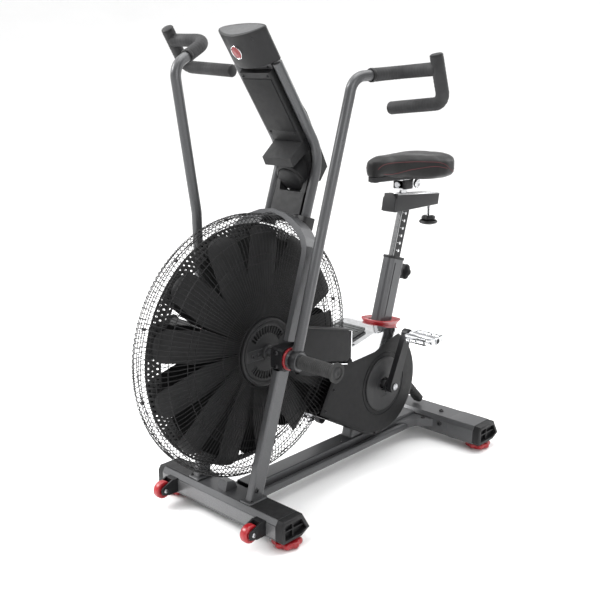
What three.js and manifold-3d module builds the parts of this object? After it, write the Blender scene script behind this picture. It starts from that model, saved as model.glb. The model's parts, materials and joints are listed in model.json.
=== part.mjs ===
// Air bike: a fan-braked exercise bike with swinging arms, pedals and an adjustable seat.
// Millimetres, +Z up. The rider faces -Y, so the fan is at the -Y end and +X is the rider's left.
// The origin is on the floor, under the middle of the machine.
import * as THREE from 'three';
import { mergeVertices } from 'three/addons/utils/BufferGeometryUtils.js';
import Module from 'manifold-3d';

const wasm = await Module();
wasm.setup();

// ---- driving dimensions -------------------------------------------------------------------
const GAP = 0.3;                       // running and assembly gap between touching pieces
const FLOOR_Z = 18;                     // height of the floor in the layout below

const BEAM_TOP = 100;                  // top of the main beam above the floor
const FRONT_FACE_Y = -373;             // front face of the front stabilizer
const REAR_FACE_Y = 497;               // front face of the rear stabilizer
const STABILIZER_TOP = 107;
const STABILIZER_BOTTOM = 44;
const FRONT_DEPTH = 106;
const REAR_DEPTH = 119;
const FRONT_HALF_LENGTH = 254;
const REAR_HALF_LENGTH = 285;
const CAP_LENGTH = 24;
const FOOT_X = { front: 222, rear: 246 };
const FOOT_RADIUS = 41;

const FAN_Y = -247;                    // fan axle, arm pivots and foot pegs share this axis
const FAN_Z = 496;
const CAGE_RADIUS = 362;
const CAGE_HALF_WIDTH = 76;
const FAN_RADIUS = 336;
const HUB_COVER_RADIUS = 93;

const CRANK_Y = 250;
const CRANK_Z = 277;
const CRANK_LENGTH = 167;
const CRANK_TILT = 23;                 // degrees that the left crank leans back from upright
const SHROUD_RADIUS = 166;
const SHROUD_HALF_WIDTH = 83;
const BELT_X = -93;                    // mid-plane of the belt
const CRANK_PULLEY_RADIUS = 118;
const FAN_PULLEY_RADIUS = 27;

const SEAT_TILT = 16.5;                // degrees that the seat tube leans back
const SEAT_TUBE_TOP = { y: 397, z: 643 };
const SLIDER_Z = 826;                  // middle of the seat slider beam
const SEAT_BOTTOM = 890;

const PIVOT_INNER = 118;               // pivot block, inner and outer faces
const PIVOT_OUTER = 160;
const ARM_X = 183;                     // middle of the arm tube at its pivot
const ARM_RADIUS = 14;
const GRIP_RADIUS = 17.5;
const ARM_SPREAD = 21.6;               // degrees between the left arm and the right arm
const PEG_END = 325;

const MAST_X = 70;
const MAST_RADIUS = 13;

// ---- colours ------------------------------------------------------------------------------
const finish = (color, roughness, metalness) => ({ color, roughness, metalness });
const FRAME_PAINT = finish(0x4a4b4e, 0.42, 0.55);
const BLACK_PAINT = finish(0x17181a, 0.45, 0.3);
const BLACK_PLASTIC = finish(0x1b1c1e, 0.6, 0);
const DARK_PLASTIC = finish(0x2b2c2f, 0.55, 0);
const RED_PLASTIC = finish(0xb3161d, 0.4, 0);
const CHROME = finish(0xd8dadc, 0.12, 1);
const STEEL = finish(0x8d9094, 0.35, 0.9);
const RUBBER = finish(0x141415, 0.85, 0);
const LEATHER = finish(0x19191b, 0.55, 0);
const GLASS = finish(0x202a2c, 0.1, 0);

// ---- small geometry tools -----------------------------------------------------------------
const radians = THREE.MathUtils.degToRad;

function toSolid(geometry) {
  const bare = geometry.clone();
  bare.deleteAttribute('normal');
  bare.deleteAttribute('uv');
  const merged = mergeVertices(bare, 1e-4);
  return new wasm.Manifold(new wasm.Mesh({
    numProp: 3,
    vertProperties: new Float32Array(merged.attributes.position.array),
    triVerts: new Uint32Array(merged.index.array),
  }));
}

function toGeometry(solid) {
  const mesh = solid.getMesh();
  const geometry = new THREE.BufferGeometry();
  geometry.setAttribute('position', new THREE.BufferAttribute(mesh.vertProperties, 3));
  geometry.setIndex(new THREE.BufferAttribute(mesh.triVerts, 1));
  return geometry;
}

const join = (...pieces) => toGeometry(pieces.map(toSolid).reduce((sum, next) => sum.add(next)));
const cut = (base, ...cutters) => toGeometry(
  cutters.map(toSolid).reduce((left, next) => left.subtract(next), toSolid(base)));

function shapeOf(points) {
  return new THREE.Shape(points.map(([a, b]) => new THREE.Vector2(a, b)));
}

function arcPoints(a, b, radius, fromDegrees, toDegrees, steps) {
  const points = [];
  for (let i = 0; i <= steps; i += 1) {
    const angle = radians(fromDegrees + (toDegrees - fromDegrees) * i / steps);
    points.push([a + radius * Math.cos(angle), b + radius * Math.sin(angle)]);
  }
  return points;
}

function roundedRect(width, height, radius, steps = 3) {
  const a = width / 2 - radius;
  const b = height / 2 - radius;
  return [
    ...arcPoints(a, b, radius, 0, 90, steps),
    ...arcPoints(-a, b, radius, 90, 180, steps),
    ...arcPoints(-a, -b, radius, 180, 270, steps),
    ...arcPoints(a, -b, radius, 270, 360, steps),
  ];
}

// Moves every side of a convex, anticlockwise outline inwards by the same distance.
function insetConvex(points, distance) {
  const count = points.length;
  return points.map((corner, i) => {
    const before = points[(i + count - 1) % count];
    const after = points[(i + 1) % count];
    const into = new THREE.Vector2(corner[0] - before[0], corner[1] - before[1]).normalize();
    const out = new THREE.Vector2(after[0] - corner[0], after[1] - corner[1]).normalize();
    const scale = distance / (1 + into.dot(out));
    return [corner[0] - (into.y + out.y) * scale, corner[1] + (into.x + out.x) * scale];
  });
}

const shifted = (points, da, db) => points.map(([a, b]) => [a + da, b + db]);
const circle = (radius, sides) => arcPoints(0, 0, radius, 0, 360, sides).slice(0, sides);

function extruded(points, depth, holes = []) {
  const shape = shapeOf(points);
  shape.holes = holes.map(shapeOf);
  return new THREE.ExtrudeGeometry(shape, { depth, bevelEnabled: false, curveSegments: 1 });
}

// Outline in (y, z), running along X from x0 to x1.
function alongX(points, x0, x1, holes = []) {
  const basis = new THREE.Matrix4().makeBasis(
    new THREE.Vector3(0, 1, 0), new THREE.Vector3(0, 0, 1), new THREE.Vector3(1, 0, 0));
  return extruded(points, x1 - x0, holes).applyMatrix4(basis).translate(x0, 0, 0);
}

// Outline in (x, z), running along Y from y0 to y1.
function alongY(points, y0, y1, holes = []) {
  return extruded(points, y1 - y0, holes).rotateX(Math.PI / 2).translate(0, y1, 0);
}

// Outline in (x, y), running along Z from z0 to z1.
function alongZ(points, z0, z1, holes = []) {
  return extruded(points, z1 - z0, holes).translate(0, 0, z0);
}

const rodX = (radius, x0, x1, sides = 16) => alongX(circle(radius, sides), x0, x1);
const ringX = (radius, bore, x0, x1, sides = 20) => (
  alongX(circle(radius, sides), x0, x1, [circle(bore, sides)]));

// A path that is sampled only at its own stations: the ends and a few points round each bend.
class StationCurve extends THREE.Curve {
  constructor(stations) {
    super();
    this.stations = stations;
  }

  getPoint(t, target = new THREE.Vector3()) {
    const last = this.stations.length - 1;
    const place = Math.min(Math.max(t, 0), 1) * last;
    const index = Math.min(Math.floor(place + 1e-9), last - 1);
    return target.lerpVectors(this.stations[index], this.stations[index + 1], place - index);
  }

  getPointAt(u, target) {
    return this.getPoint(u, target);
  }

  getTangentAt(u, target = new THREE.Vector3()) {
    const last = this.stations.length - 1;
    const index = Math.round(u * last);
    const before = this.stations[Math.max(index - 1, 0)];
    const after = this.stations[Math.min(index + 1, last)];
    return target.subVectors(after, before).normalize();
  }
}

function bentStations(corners, bendRadius, bendSteps) {
  const points = corners.map(([x, y, z]) => new THREE.Vector3(x, y, z));
  const stations = [points[0]];
  for (let i = 1; i < points.length - 1; i += 1) {
    const into = new THREE.Vector3().subVectors(points[i], points[i - 1]).normalize();
    const out = new THREE.Vector3().subVectors(points[i + 1], points[i]).normalize();
    const turn = into.angleTo(out);
    const trim = bendRadius * Math.tan(turn / 2);
    const inward = new THREE.Vector3().subVectors(out, into).normalize();
    const centre = points[i].clone().addScaledVector(inward, bendRadius / Math.cos(turn / 2));
    const start = points[i].clone().addScaledVector(into, -trim).sub(centre);
    const axis = new THREE.Vector3().crossVectors(into, out).normalize();
    for (let k = 0; k <= bendSteps; k += 1) {
      stations.push(start.clone().applyAxisAngle(axis, turn * k / bendSteps).add(centre));
    }
  }
  stations.push(points[points.length - 1]);
  return stations;
}

function bentTube(corners, bendRadius, section, bendSteps = 4, holes = []) {
  const stations = bentStations(corners, bendRadius, bendSteps);
  const shape = shapeOf(section);
  shape.holes = holes.map(shapeOf);
  return new THREE.ExtrudeGeometry(shape, {
    extrudePath: new StationCurve(stations), steps: stations.length - 1, bevelEnabled: false,
  });
}

// A post whose section stays level while its top is offset from its foot.
function leaningPost(section, height, dx, dy, holes = []) {
  const lean = new THREE.Matrix4().set(
    1, 0, dx / height, 0,
    0, 1, dy / height, 0,
    0, 0, 1, 0,
    0, 0, 0, 1);
  return alongZ(section, 0, height, holes).applyMatrix4(lean);
}

function part(name, geometry, look, position = [0, 0, 0], rotation = [0, 0, 0]) {
  const material = new THREE.MeshStandardMaterial(look);
  const mesh = new THREE.Mesh(geometry, material);
  mesh.name = name;
  mesh.position.set(...position);
  mesh.rotation.set(...rotation);
  return mesh;
}

function group(parts, position = [0, 0, 0], rotation = [0, 0, 0]) {
  const holder = new THREE.Group();
  holder.add(...parts.flat());
  holder.position.set(...position);
  holder.rotation.set(...rotation);
  return holder;
}

const mirrored = (points) => points.map(([a, b]) => [-a, b]).reverse();
const SIDES = [['left', 1], ['right', -1]];

// Mirrors a geometry across the mid-plane for the right-hand side, keeping its faces outward.
function onSide(geometry, sign) {
  if (sign > 0) return geometry;
  const flipped = geometry.index ? geometry.toNonIndexed() : geometry.clone();
  flipped.scale(-1, 1, 1);
  const place = flipped.attributes.position;
  for (let i = 0; i < place.count; i += 3) {
    const keep = [place.getX(i), place.getY(i), place.getZ(i)];
    place.setXYZ(i, place.getX(i + 2), place.getY(i + 2), place.getZ(i + 2));
    place.setXYZ(i + 2, ...keep);
  }
  return flipped;
}

// ---- base ---------------------------------------------------------------------------------
function stabilizerSection(faceY, depth) {
  return [
    [faceY + 8, STABILIZER_BOTTOM],
    [faceY + depth - 32, STABILIZER_BOTTOM],
    [faceY + depth, 60],
    [faceY + depth - 28, STABILIZER_TOP],
    [faceY + 9, STABILIZER_TOP],
    [faceY, 94],
    [faceY, 52],
  ];
}

function stabilizerTube(faceY, depth, halfLength) {
  const wall = 3;
  const half = halfLength - CAP_LENGTH;
  const outer = stabilizerSection(faceY, depth);
  return alongX(outer, -half, half, [insetConvex(outer, wall)]);
}

// The tube carries the two wheel brackets and the saddle that the fan cage rests on.
function frontStabilizer() {
  const tube = stabilizerTube(FRONT_FACE_Y, FRONT_DEPTH, FRONT_HALF_LENGTH);
  const brackets = SIDES.map(([, sign]) => wheelBracket(sign * WHEEL_X));
  const saddle = alongX([[-352, 105], [-306, 105], [-316, 128], [-342, 134]], -16, 16);
  return part('front_stabilizer', join(tube, ...brackets, saddle), FRAME_PAINT);
}

function rearStabilizer() {
  const tube = stabilizerTube(REAR_FACE_Y, REAR_DEPTH, REAR_HALF_LENGTH);
  return part('rear_stabilizer', tube, FRAME_PAINT);
}

function endCap(name, faceY, depth, halfLength, sign) {
  const inner = halfLength - CAP_LENGTH + GAP;
  const outer = stabilizerSection(faceY, depth);
  const body = alongX(outer, inner, halfLength);
  const recess = alongX(insetConvex(outer, 11), halfLength - 6, halfLength + 1);
  return part(name, onSide(cut(body, recess), sign), BLACK_PLASTIC);
}

function levellingFoot(name, x, y) {
  const lobes = 8;
  const outline = [];
  for (let i = 0; i < lobes * 4; i += 1) {
    const angle = 2 * Math.PI * i / (lobes * 4);
    const radius = FOOT_RADIUS - 3.5 + 3.5 * Math.cos(lobes * angle);
    outline.push([radius * Math.cos(angle), radius * Math.sin(angle)]);
  }
  const height = STABILIZER_BOTTOM - GAP - FLOOR_Z;
  const knob = alongZ(outline, 4, 20);
  const pad = alongZ(circle(FOOT_RADIUS - 12, 16), 0, 6);
  const stem = alongZ(circle(9, 10), 18, height);
  return part(name, join(knob, pad, stem), RED_PLASTIC, [x, y, FLOOR_Z]);
}

const WHEEL_X = 178;
const WHEEL_Y = FRONT_FACE_Y - 44;
const WHEEL_Z = 72;
const WHEEL_RADIUS = 25;

function wheelBracket(x) {
  const halfGap = 13;
  const thick = 4;
  const reach = FRONT_FACE_Y - WHEEL_Y;
  const web = [[reach - 14, 24], [reach + 1, 24], [reach + 1, -16], [12, -16],
    ...arcPoints(0, 0, 12, 280, 110, 5)].reverse();
  const ear = (from) => alongX(web, from, from + thick);
  const plate = [[reach - 8, -16], [reach + 1, -16], [reach + 1, 24], [reach - 8, 24]];
  const back = alongX(plate, -halfGap - thick, halfGap + thick);
  const wheelPin = rodX(4, -halfGap - thick - 3, halfGap + thick + 3, 8);
  return join(ear(-halfGap - thick), ear(halfGap), back, wheelPin).translate(x, WHEEL_Y, WHEEL_Z);
}

function transportWheel(name, x) {
  const wheel = ringX(WHEEL_RADIUS, 4.4, -11, 11, 24);
  return part(name, wheel, RED_PLASTIC, [x, WHEEL_Y, WHEEL_Z]);
}

const BEAM_FRONT = FRONT_FACE_Y + FRONT_DEPTH + 1;
const BEAM_REAR = REAR_FACE_Y - GAP;

// A box beam with a narrow rail along each side, and a flared gusset at the rear stabilizer.
function mainBeam() {
  const outer = shifted(roundedRect(58, 40, 4, 2), 0, BEAM_TOP - 20);
  const inner = shifted(roundedRect(52, 34, 2, 1), 0, BEAM_TOP - 20);
  const box = alongY(outer, BEAM_FRONT, BEAM_REAR, [inner]);
  const wings = SIDES.flatMap(([, sign]) => {
    const section = shifted(roundedRect(18, 24, 7, 2), sign * 43, 71);
    const rail = alongY(section, BEAM_FRONT, BEAM_REAR);
    const flare = [[28, 385], [52, 430], [66, 465], [88, 484], [105, BEAM_REAR], [28, BEAM_REAR]];
    const gusset = alongZ(flare.reverse(), 64, 90);
    const tie = alongY([[28, 66], [38, 66], [38, 76], [28, 76]], BEAM_FRONT, BEAM_FRONT + 12);
    return [rail, onSide(gusset, sign), onSide(tie, sign)];
  });
  return part('main_beam', join(box, ...wings), FRAME_PAINT);
}

function base() {
  const rearCentre = REAR_FACE_Y + 58;
  const frontCentre = FRONT_FACE_Y + 50;
  const parts = [frontStabilizer(), rearStabilizer(), mainBeam()];
  for (const [side, sign] of SIDES) {
    parts.push(
      endCap(`front_cap_${side}`, FRONT_FACE_Y, FRONT_DEPTH, FRONT_HALF_LENGTH, sign),
      endCap(`rear_cap_${side}`, REAR_FACE_Y, REAR_DEPTH, REAR_HALF_LENGTH, sign),
      levellingFoot(`front_foot_${side}`, sign * FOOT_X.front, frontCentre),
      levellingFoot(`rear_foot_${side}`, sign * FOOT_X.rear, rearCentre),
      transportWheel(`transport_wheel_${side}`, sign * WHEEL_X));
  }
  return group(parts);
}

// ---- uprights, arch and mast ----------------------------------------------------------------
const BLOCK_BOTTOM = FAN_Z - 32;
const BLOCK_TOP = FAN_Z + 30;
const PIVOT_BORE = 12 + GAP;

function leg(name, sign) {
  const foot = { x: 106, y: -331, z: STABILIZER_TOP + GAP };
  const head = { x: 133, y: FAN_Y - 3, z: BLOCK_BOTTOM - GAP };
  const section = roundedRect(24, 46, 5, 2);
  const hollow = roundedRect(18, 40, 2, 1);
  const post = leaningPost(section, head.z - foot.z, head.x - foot.x, head.y - foot.y, [hollow]);
  return part(name, onSide(post.translate(foot.x, foot.y, foot.z), sign), FRAME_PAINT);
}

function pivotBlock(name, sign) {
  const outline = shifted(roundedRect(66, BLOCK_TOP - BLOCK_BOTTOM, 12, 3), 6, -1);
  const body = alongX(outline, PIVOT_INNER, PIVOT_OUTER, [circle(PIVOT_BORE, 20)]);
  return part(name, onSide(body, sign), BLACK_PAINT, [0, FAN_Y, FAN_Z]);
}

// The arch is one bent bar: two uprights that lean back and cross over the top of the cage.
function frameArch() {
  const lean = 17.2;
  const depth = 46;
  const outer = [[152, 0], [152, 226], [148, 250], [136, 273], [113, 295], [82, 313], [46, 327],
    [0, 334]];
  const inner = [[136, 0], [136, 226], [133, 243], [123, 261], [104, 279], [77, 297], [42, 315],
    [0, 324]];
  const halfOutline = (points) => [...points, ...mirrored(points.slice(0, -1))];
  const outline = [...halfOutline(outer), ...halfOutline(inner).reverse()];
  const bar = alongY(outline, -depth / 2, depth / 2);
  const behindCrown = alongX([[-3, 300], [60, 250], [60, 400], [-3, 400]], -60, 60);
  return part('frame_arch', cut(bar, behindCrown), FRAME_PAINT,
    [0, FAN_Y + 24, BLOCK_TOP + 8], [-radians(lean), 0, 0]);
}

const MAST_FOOT = { y: -96, z: 818 };
const MAST_BEND = { y: -35, z: 1000 };
const MAST_HEAD = { y: -195, z: 1237 };
const MAST_LEAN = Math.atan2(MAST_BEND.y - MAST_HEAD.y, MAST_HEAD.z - MAST_BEND.z);

const MAST_BEND_RADIUS = 110;

// Two bent tubes, tied by a plate behind the console panel and one above the arch.
function mastFrame() {
  const tubes = SIDES.map(([, sign]) => {
    const corners = [MAST_FOOT, MAST_BEND, MAST_HEAD].map(({ y, z }) => [sign * MAST_X, y, z]);
    return bentTube(corners, MAST_BEND_RADIUS, circle(MAST_RADIUS, 12), 6);
  });
  const upperTie = alongZ(shifted(roundedRect(2 * MAST_X, 4, 1, 1), 0, 13), -45, -8)
    .rotateX(MAST_LEAN).translate(0, MAST_HEAD.y, MAST_HEAD.z);
  const lowerTie = alongY([[-MAST_X, 832], [MAST_X, 832], [MAST_X, 848], [-MAST_X, 848]], -92, -84);
  return part('mast_frame', join(...tubes, upperTie, lowerTie), FRAME_PAINT);
}

function uprights() {
  const parts = [frameArch(), mastFrame()];
  for (const [side, sign] of SIDES) {
    parts.push(leg(`leg_${side}`, sign), pivotBlock(`pivot_block_${side}`, sign));
  }
  return group(parts);
}

// ---- fan and cage -------------------------------------------------------------------------
function latheX(profile, segments) {
  const points = profile.map(([x, r]) => new THREE.Vector2(r, x));
  return new THREE.LatheGeometry([...points, points[0]], segments).rotateZ(-Math.PI / 2);
}

// One dished half of the wire cage: a thin shell with slots between its radial spokes.
function cageHalf(name, sign) {
  const outer = [[GAP, CAGE_RADIUS], [30, CAGE_RADIUS - 4], [50, CAGE_RADIUS - 17],
    [62, CAGE_RADIUS - 33], [70, 300], [CAGE_HALF_WIDTH, 200], [CAGE_HALF_WIDTH, 96]];
  const wall = 3;
  const inner = outer.map(([x, r], i) => (
    i < 3 ? [Math.max(x - 1, GAP), r - wall] : [x - wall, i === 3 ? r - 1.5 : r]));
  const shell = latheX([...outer, ...inner.reverse()], 40);
  const slots = [];
  const slotCount = 20;
  for (let i = 0; i < slotCount; i += 1) {
    const wedge = [[118, -9], [322, -24], [322, 24], [118, 9]];
    const slot = alongX(wedge, 55, 90).rotateX(2 * Math.PI * (i + 0.5) / slotCount);
    slots.push(slot);
  }
  return part(name, onSide(cut(shell, ...slots), sign), BLACK_PAINT);
}

function hubCover(name, sign) {
  const disc = ringX(HUB_COVER_RADIUS, 10 + 2 * GAP, 68, 82, 28);
  return part(name, onSide(disc, sign), BLACK_PLASTIC);
}

// Two rows of broad blades, lying almost flat in the wheel, either side of one rim band.
function fanRotor() {
  const bladeCount = 13;
  const pitch = 98;
  const rowOffset = 33;
  const tip = FAN_RADIUS - 8;
  const outline = [[52, -11], [180, -41], [300, -43], [320, -34], [tip, -15],
    [tip, 15], [320, 34], [300, 43], [180, 41], [52, 11]].map(([r, c]) => [c, r]).reverse();
  const blades = [];
  for (let i = 0; i < bladeCount; i += 1) {
    const turn = 2 * Math.PI * i / bladeCount;
    for (const sign of [1, -1]) {
      const sheet = alongZ(outline, -1.5, 1.5).rotateY(radians(sign * pitch));
      blades.push(sheet.translate(sign * rowOffset, 0, 0).rotateX(turn));
    }
    const tie = alongX([[317, -10], [326, -10], [326, 10], [317, 10]], -rowOffset, rowOffset);
    blades.push(tie.rotateX(turn));
  }
  const hub = ringX(62, 10 + GAP, -40, 40, 26);
  const band = ringX(332, 318, -16, 16, 40);
  return part('fan_rotor', join(hub, band, ...blades), BLACK_PAINT);
}

function fanAxle() {
  const axle = rodX(10, -(PIVOT_INNER - 3), PIVOT_INNER - 3, 16);
  const pulley = rodX(FAN_PULLEY_RADIUS, BELT_X - 7, BELT_X + 7, 24);
  return part('fan_axle', join(axle, pulley), STEEL);
}

function fanUnit() {
  const parts = [fanRotor(), fanAxle()];
  for (const [side, sign] of SIDES) {
    parts.push(cageHalf(`cage_${side}`, sign), hubCover(`hub_cover_${side}`, sign));
  }
  return group(parts, [0, FAN_Y, FAN_Z]);
}

// ---- drive --------------------------------------------------------------------------------
// Outline of a tight loop round two circles, given as [y, z, radius].
function loopOutline(big, small, steps = 16) {
  const [y1, z1, r1] = big;
  const [y2, z2, r2] = small;
  const heading = THREE.MathUtils.radToDeg(Math.atan2(z2 - z1, y2 - y1));
  const spread = THREE.MathUtils.radToDeg(Math.acos((r1 - r2) / Math.hypot(y2 - y1, z2 - z1)));
  return [
    ...arcPoints(y1, z1, r1, heading + spread, heading + 360 - spread, steps * 2),
    ...arcPoints(y2, z2, r2, heading - spread, heading + spread, steps),
  ];
}

const driveLoop = (extra, steps) => loopOutline(
  [CRANK_Y, CRANK_Z, CRANK_PULLEY_RADIUS + extra], [FAN_Y, FAN_Z, FAN_PULLEY_RADIUS + extra], steps);

function driveBelt() {
  const clear = 1;
  const loop = alongX(driveLoop(clear + 3), BELT_X - 6, BELT_X + 6, [driveLoop(clear)]);
  return part('drive_belt', loop, RUBBER);
}

const COVER_MARGIN = 22;

function beltCover() {
  const inner = -(SHROUD_HALF_WIDTH + GAP);
  const outer = -106;
  const shell = alongX(driveLoop(COVER_MARGIN, 12), outer, inner);
  const pocket = alongX(driveLoop(COVER_MARGIN - 3, 12), outer + 3, inner + 1);
  const crankHole = rodX(16, outer - 1, outer + 4, 16).translate(0, CRANK_Y, CRANK_Z);
  const axleHole = rodX(13, outer - 1, outer + 4, 16).translate(0, FAN_Y, FAN_Z);
  return part('belt_cover', cut(shell, pocket, crankHole, axleHole), BLACK_PLASTIC);
}

const CRANK_INNER = 110;
const CRANK_OUTER = 128;

function crankPulley() {
  const rim = ringX(CRANK_PULLEY_RADIUS, 98, BELT_X - 7, BELT_X + 7, 40);
  const web = rodX(100, BELT_X - 2, BELT_X + 2, 32);
  const spindle = rodX(12, -(CRANK_INNER - 1), CRANK_INNER - 1, 16);
  const ends = rodX(8, -CRANK_OUTER, CRANK_OUTER, 12);
  return part('crank_pulley', join(rim, web, spindle, ends), STEEL);
}

// Built pointing straight up from the axle; the pedal spindle is part of the arm.
function crankArm(name, sign, tilt) {
  const blade = [
    ...arcPoints(0, 0, 20, 180, 360, 8),
    ...arcPoints(0, CRANK_LENGTH, 15, 0, 180, 6),
  ];
  const body = alongX(blade, CRANK_INNER, CRANK_OUTER, [circle(8 + 2 * GAP, 16)]);
  const pin = rodX(7, CRANK_OUTER - 1, CRANK_OUTER + 106, 12).translate(0, 0, CRANK_LENGTH);
  return part(name, onSide(join(body, pin), sign), BLACK_PAINT, [0, 0, 0], [radians(tilt), 0, 0]);
}

// A pedal with an open cage plate round its spindle tube.
function pedal(name, sign, tilt) {
  const inner = CRANK_OUTER + 5;
  const length = 102;
  const middle = inner + length / 2;
  const barrel = ringX(12, 7 + 2 * GAP, inner, inner + length, 14);
  const rim = alongZ(shifted(roundedRect(length - 6, 84, 14, 3), middle, 0), -9, 9,
    [shifted(roundedRect(length - 12, 78, 11, 3), middle, 0)]);
  const plate = (x) => alongX([[-41, -7], [41, -7], [41, 7], [-41, 7]], x - 2, x + 2);
  const webs = [plate(inner + 4), plate(inner + length - 6)];
  const bore = rodX(7 + 2 * GAP, inner - 5, inner + length + 5, 14);
  const angle = radians(tilt);
  const position = [0, -CRANK_LENGTH * Math.sin(angle), CRANK_LENGTH * Math.cos(angle)];
  return part(name, onSide(cut(join(barrel, rim, ...webs), bore), sign), CHROME, position);
}

function crankSet() {
  const parts = [crankPulley()];
  const tilts = { left: -CRANK_TILT, right: 180 - CRANK_TILT };
  for (const [side, sign] of SIDES) {
    parts.push(crankArm(`crank_arm_${side}`, sign, tilts[side]));
    parts.push(pedal(`pedal_${side}`, sign, tilts[side]));
  }
  return group(parts, [0, CRANK_Y, CRANK_Z]);
}

function drive() {
  return group([driveBelt(), beltCover(), crankSet()]);
}

// ---- shroud -------------------------------------------------------------------------------
// Angle at which a line from an outside point touches the shroud circle.
function tangentAngle([y, z], side) {
  const dy = y - CRANK_Y;
  const dz = z - CRANK_Z;
  const bearing = THREE.MathUtils.radToDeg(Math.atan2(dz, dy));
  return bearing + side * THREE.MathUtils.radToDeg(Math.acos(SHROUD_RADIUS / Math.hypot(dy, dz)));
}

function shroudOutline() {
  const low = [-45, 254];
  const mid = [8, 345];
  const high = [58, 391];
  const start = tangentAngle(low, 1);
  const end = tangentAngle(high, -1);
  return [...arcPoints(CRANK_Y, CRANK_Z, SHROUD_RADIUS, start, end, 26), high, mid, low];
}

const SEAT_LEAN = radians(SEAT_TILT);
const seatTubeY = (z) => SEAT_TUBE_TOP.y - (SEAT_TUBE_TOP.z - z) * Math.tan(SEAT_LEAN);
const TUBE_WIDTH = 42;
const TUBE_DEPTH = 72;

// A level-section block round the leaning seat tube, for clearance holes and the collar.
function roundSeatTube(width, depth, radius, z0, z1) {
  const height = z1 - z0;
  const block = leaningPost(roundedRect(width, depth, radius, 3), height,
    0, seatTubeY(z1) - seatTubeY(z0));
  return block.translate(0, seatTubeY(z0), z0);
}

const FOOT_POST = { width: 44, depth: 54, y: 200 };

function shroudHalf(name, sign) {
  const wall = 4;
  const outline = shroudOutline();
  const shell = alongX(outline, GAP, SHROUD_HALF_WIDTH);
  const pocket = alongX(insetConvex(outline, wall), -1, SHROUD_HALF_WIDTH - wall);
  const cageSpace = rodX(CAGE_RADIUS + 5, -1, SHROUD_HALF_WIDTH - wall, 60)
    .translate(0, FAN_Y, FAN_Z);
  const axleHole = rodX(16, 0, SHROUD_HALF_WIDTH + 1, 16).translate(0, CRANK_Y, CRANK_Z);
  const tubeHole = roundSeatTube(TUBE_WIDTH + 4, TUBE_DEPTH + 9, 12, 380, 470);
  const footHole = alongZ([[-30, 155], [30, 155], [30, 262], [-30, 262]], 100, 190);
  const half = cut(shell, pocket, cageSpace, axleHole, tubeHole, footHole);
  if (sign < 0) return part(name, onSide(half, sign), BLACK_PLASTIC);
  const disc = ringX(85, 22, SHROUD_HALF_WIDTH - 1, SHROUD_HALF_WIDTH + 4, 36)
    .translate(0, CRANK_Y, CRANK_Z);
  return part(name, join(half, disc), BLACK_PLASTIC);
}

const COLLAR = { width: 78, depth: 112, radius: 30 };

function seatCollar() {
  const ring = cut(
    roundSeatTube(COLLAR.width, COLLAR.depth, COLLAR.radius, 402, 440),
    roundSeatTube(TUBE_WIDTH + 2, TUBE_DEPTH + 7, 12, 390, 450),
    alongX(shroudEnvelope(), -60, 60));
  return part('seat_collar', ring, RED_PLASTIC);
}

// The shroud's outline with an assembly gap round it.
const shroudEnvelope = () => insetConvex(shroudOutline(), -2 * GAP);

function topShroud() {
  const flap = [[96, 386], [200, 392], [300, 422], [338, 430], [330, 440], [262, 454],
    [200, 453], [84, 428]];
  const saddle = alongX(flap, -(SHROUD_HALF_WIDTH + 3), SHROUD_HALF_WIDTH + 3);
  const inside = alongX(shroudEnvelope(), -(SHROUD_HALF_WIDTH + GAP), SHROUD_HALF_WIDTH + GAP);
  const collarHole = roundSeatTube(COLLAR.width + 2, COLLAR.depth + 2, COLLAR.radius, 380, 480);
  const cageSpace = rodX(CAGE_RADIUS + 5, -80, 80, 60).translate(0, FAN_Y, FAN_Z);
  const beltSpace = alongX(driveLoop(COVER_MARGIN + 1, 12), -110, -SHROUD_HALF_WIDTH);
  return part('top_shroud', cut(saddle, inside, collarHole, cageSpace, beltSpace), CHROME);
}

function stepPad() {
  const slab = [[124, 439], [196, 454.5], [194, 463], [122, 448]];
  return part('step_pad', alongX(slab, -52, 52), RUBBER);
}

// A long box cover beside the cage, from the pivot block back to the shroud.
function sideCover() {
  const outline = [[-150, 450], [44, 404], [58, 414], [58, 492], [48, 502], [-150, 551], [-160, 540],
    [-160, 460]];
  const inner = SHROUD_HALF_WIDTH + 2;
  const outer = 112;
  const body = alongX(outline, inner, outer);
  const pocket = alongX(insetConvex(outline, 4), inner - 1, outer - 4);
  return part('side_cover', cut(body, pocket), BLACK_PLASTIC);
}

function rearStrut() {
  const head = [0, 426, 254];
  const foot = [0, 560, STABILIZER_TOP + 12];
  return part('rear_strut', bentTube([head, foot], 1, roundedRect(34, 26, 9, 2)), RUBBER);
}

function shroud() {
  const halves = SIDES.map(([side, sign]) => shroudHalf(`shroud_${side}`, sign));
  return group([...halves, seatCollar(), topShroud(), stepPad(), sideCover(), rearStrut()]);
}

// ---- seat ---------------------------------------------------------------------------------
const POST_WIDTH = 22;
const POST_DEPTH = 38;
const POST_TOP = 175;                  // along the tube, above its top
const SLIDER_FRONT = 366;
const SLIDER_REAR = 594;

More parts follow.
